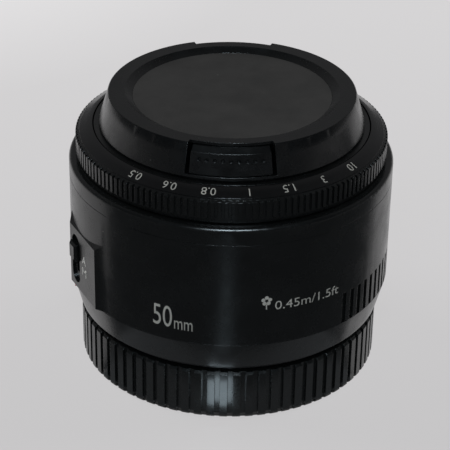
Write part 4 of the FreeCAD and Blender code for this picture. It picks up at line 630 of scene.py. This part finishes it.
def floor_light(material):
    """Painted light on the floor: its glow is a little brighter at the back, with a painted pool
    of light at the back on the left.
    """
    place = add_node(material, "ShaderNodeTexCoord")
    split = add_node(material, "ShaderNodeSeparateXYZ")
    link(material, place.outputs["Object"], split.inputs[0])
    near_y, near_light = GLOW_NEAR
    far_y, far_light = GLOW_FAR
    depth = spread(material, split.outputs["Y"], near_light, far_light, near_y, far_y)
    away = add_node(material, "ShaderNodeVectorMath", operation="DISTANCE")
    away.inputs[1].default_value = CORNER_PLACE
    link(material, place.outputs["Object"], away.inputs[0])
    corner = spread(material, away.outputs["Value"], CORNER_GLOW, 0.0, *CORNER_REACH)
    return combine(material, "ADD", depth, corner)


FLOOR_PATCH = 60.0
FLOOR_DARK = 0.985
FLOOR_GRAIN = 0.6
FLOOR_GRAIN_DEPTH = 0.01


def add_floor():
    """Pale floor. Most of what is seen of it is an even tone, so its shadow stays faint."""
    material, shader = new_material("floor")
    tone = spread(material, noise(material, FLOOR_PATCH), 0.0, 1.0)
    base = mix_colour(material, tone, scaled(FLOOR_COLOUR, FLOOR_DARK), FLOOR_COLOUR)
    link(material, base, shader.inputs["Base Color"])
    shader.inputs["Roughness"].default_value = 0.45
    shader.inputs["Specular IOR Level"].default_value = 0.35
    bump(material, shader, noise(material, FLOOR_GRAIN), FLOOR_GRAIN_DEPTH)
    glow = add_node(material, "ShaderNodeEmission")
    glow.inputs["Color"].default_value = (*FLOOR_GLOW, 1.0)
    link(material, floor_light(material), glow.inputs["Strength"])
    ray = add_node(material, "ShaderNodeLightPath").outputs
    direct = combine(material, "MAXIMUM", ray["Is Camera Ray"], ray["Is Transmission Ray"])
    seen = combine(material, "MAXIMUM", direct, ray["Is Glossy Ray"])
    share = combine(material, "MULTIPLY", seen, FLOOR_GLOW_SHARE)
    blend = add_node(material, "ShaderNodeMixShader")
    link(material, share, blend.inputs[0])
    link(material, shader.outputs[0], blend.inputs[1])
    link(material, glow.outputs[0], blend.inputs[2])
    surface = material.node_tree.nodes["Material Output"].inputs["Surface"]
    link(material, blend.outputs[0], surface)
    corners = rectangle(-FLOOR_REACH, FLOOR_REACH, -FLOOR_REACH, FLOOR_REACH, 0.0)
    add_stage_piece("floor", corners, material)


def emission_material(name, colour, strength):
    material = bpy.data.materials.new(name)
    material.use_nodes = True
    material.node_tree.nodes.clear()
    glow = add_node(material, "ShaderNodeEmission")
    glow.inputs["Color"].default_value = (*colour, 1.0)
    glow.inputs["Strength"].default_value = strength
    end = add_node(material, "ShaderNodeOutputMaterial")
    link(material, glow.outputs[0], end.inputs["Surface"])
    return material


def reflection_only(piece):
    piece.visible_camera = False
    piece.visible_diffuse = False
    piece.visible_shadow = False
    piece.visible_transmission = False


def upright(low_x, high_x, y, low_z, high_z):
    return [(low_x, y, low_z), (high_x, y, low_z), (high_x, y, high_z), (low_x, y, high_z)]


# The outline of the dark card runs round the front of the foot, from one side to the other
CARD_FOOT_R = 0.0335
CARD_ANGLES = (60, 40, 20, 0, -20, -40, -60)
CARD_SIDE = (0.042, -0.014)
CARD_REACH = 0.6
CARD_NEAR_Y = -1.2
CARD_RIGHT_Y = 0.38

# Flat cards, one just above another: low and high x, low and high y, height
DARK_CARD_Z = 0.0006
FOOT_CARD = (-0.034, 0.034, -0.0405, -0.018, 0.0008)
STRIP_CARD = (-0.0050, 0.0015, -0.125, -0.044, 0.0010)

# Upright cards: low and high x, y, low and high z
RIBS_CARD = (-0.0048, 0.0014, -0.0352, 0.0004, 0.0072)
WINDOW_CARD = (-0.20, 0.20, -1.20, 0.90, 1.75)

CARD_GREY = (0.9, 0.95, 1.0)
CARD_BLUE = (0.74, 0.90, 1.0)


def dark_card_outline():
    side_x, side_y = CARD_SIDE
    outline = [
        (-CARD_REACH, CARD_NEAR_Y), (CARD_REACH, CARD_NEAR_Y),
        (CARD_REACH, CARD_RIGHT_Y), (side_x, side_y),
    ]
    for angle in CARD_ANGLES:
        azimuth = math.radians(FRONT + angle)
        outline.append((CARD_FOOT_R * math.cos(azimuth), CARD_FOOT_R * math.sin(azimuth)))
    outline += [(-side_x, side_y), (-CARD_REACH, side_y)]
    return [(x, y, DARK_CARD_Z) for x, y in outline]


def add_reflection_cards():
    """Cards seen in gloss only: two dim ones on the floor in front, the rest brighter."""
    cards = [
        ("card_dark", dark_card_outline(), CARD_GREY, 0.08),
        ("card_foot", rectangle(*FOOT_CARD), CARD_GREY, 0.24),
        ("card_strip", rectangle(*STRIP_CARD), CARD_BLUE, 0.68),
        ("card_ribs", upright(*RIBS_CARD), CARD_BLUE, 5.0),
        ("card_window", upright(*WINDOW_CARD), CARD_BLUE, 26.0),
    ]
    for name, corners, colour, strength in cards:
        material = emission_material(name, colour, strength)
        reflection_only(add_stage_piece(name, corners, material))


FADE_START = -0.25
FADE_END = 0.80


def add_world():
    """Pale surround that falls off to a dim room towards the front, for reflections."""
    world = bpy.data.worlds.new("room")
    bpy.context.scene.world = world
    world.use_nodes = True
    world.node_tree.nodes.clear()
    place = add_node(world, "ShaderNodeTexCoord")
    split = add_node(world, "ShaderNodeSeparateXYZ")
    link(world, place.outputs["Generated"], split.inputs[0])
    fade = add_node(world, "ShaderNodeMapRange", interpolation_type="SMOOTHSTEP")
    fade.inputs["From Min"].default_value = FADE_START
    fade.inputs["From Max"].default_value = FADE_END
    link(world, split.outputs["Y"], fade.inputs["Value"])
    tone = mix_colour(world, fade.outputs["Result"], ROOM_DARK, ROOM_BACK)
    ray = add_node(world, "ShaderNodeLightPath").outputs
    shown = mix_colour(world, ray["Is Camera Ray"], tone, ROOM_PALE)
    sky = add_node(world, "ShaderNodeBackground")
    link(world, shown, sky.inputs["Color"])
    end = add_node(world, "ShaderNodeOutputWorld")
    link(world, sky.outputs[0], end.inputs["Surface"])


LAMP_TARGET = (0, 0, 0.03)
SIDE_LAMP_PLACE = (1.25, 0.55, 1.05)
SIDE_LAMP_SIZE = (1.0, 0.8)
WINDOW_LAMP_PLACE = (-0.03, -1.25, 1.05)
WINDOW_LAMP_SIZE = (0.70, 0.24)
WINDOW_LAMP_WATTS = 5.0
WARM_LIGHT = (1.0, 0.985, 0.97)
COOL_LIGHT = (0.82, 0.92, 1.0)


def add_lamp(name, place, size, watts, colour):
    """Area lamp that faces the object."""
    light = bpy.data.lights.new(name, "AREA")
    light.shape = "RECTANGLE"
    light.size, light.size_y = size
    light.energy = watts
    light.color = colour
    lamp = bpy.data.objects.new(name, light)
    bpy.context.scene.collection.objects.link(lamp)
    lamp.location = place
    toward = Vector(LAMP_TARGET) - Vector(place)
    lamp.rotation_euler = toward.to_track_quat("-Z", "Y").to_euler()
    return lamp


def add_lamps():
    """Two side lamps that gloss doesn't show, and a weak window in front."""
    away, back, up = SIDE_LAMP_PLACE
    for name, side, watts in (("lamp_side_left", -1, 11.0), ("lamp_side_right", 1, 9.0)):
        lamp = add_lamp(name, (side * away, back, up), SIDE_LAMP_SIZE, watts, WARM_LIGHT)
        lamp.visible_glossy = False
    add_lamp("lamp_window", WINDOW_LAMP_PLACE, WINDOW_LAMP_SIZE, WINDOW_LAMP_WATTS, COOL_LIGHT)


# Camera: the pose found by fitting the circles of the object, in millimetres

CAMERA_PLACE = (0.0, -335.52, 217.764)
CAMERA_RIGHT = (0.999824, 0.011515, 0.014835)
CAMERA_UP = (-0.018582, 0.492399, 0.870171)
CAMERA_FORWARD = (-0.002715, 0.870293, -0.492527)
FOCAL_PIXELS = 1787.64
IMAGE_PIXELS = 450
SENSOR_WIDTH = 36.0


def add_camera():
    lens = bpy.data.cameras.new("camera")
    lens.sensor_width = SENSOR_WIDTH
    lens.lens = FOCAL_PIXELS / IMAGE_PIXELS * SENSOR_WIDTH
    lens.clip_start = 0.01
    lens.clip_end = 50.0
    camera = bpy.data.objects.new("camera", lens)
    bpy.context.scene.collection.objects.link(camera)
    axes = [Vector(CAMERA_RIGHT), Vector(CAMERA_UP), -Vector(CAMERA_FORWARD)]
    turn = Matrix(axes).transposed().to_4x4()
    camera.matrix_world = Matrix.Translation(Vector(CAMERA_PLACE) * MM) @ turn
    bpy.context.scene.camera = camera


dress_cad_nodes()
add_coils()
add_markings()
add_floor()
add_reflection_cards()
add_world()
add_lamps()
add_camera()

bpy.context.scene.view_settings.view_transform = "Standard"
bpy.context.view_layer.update()
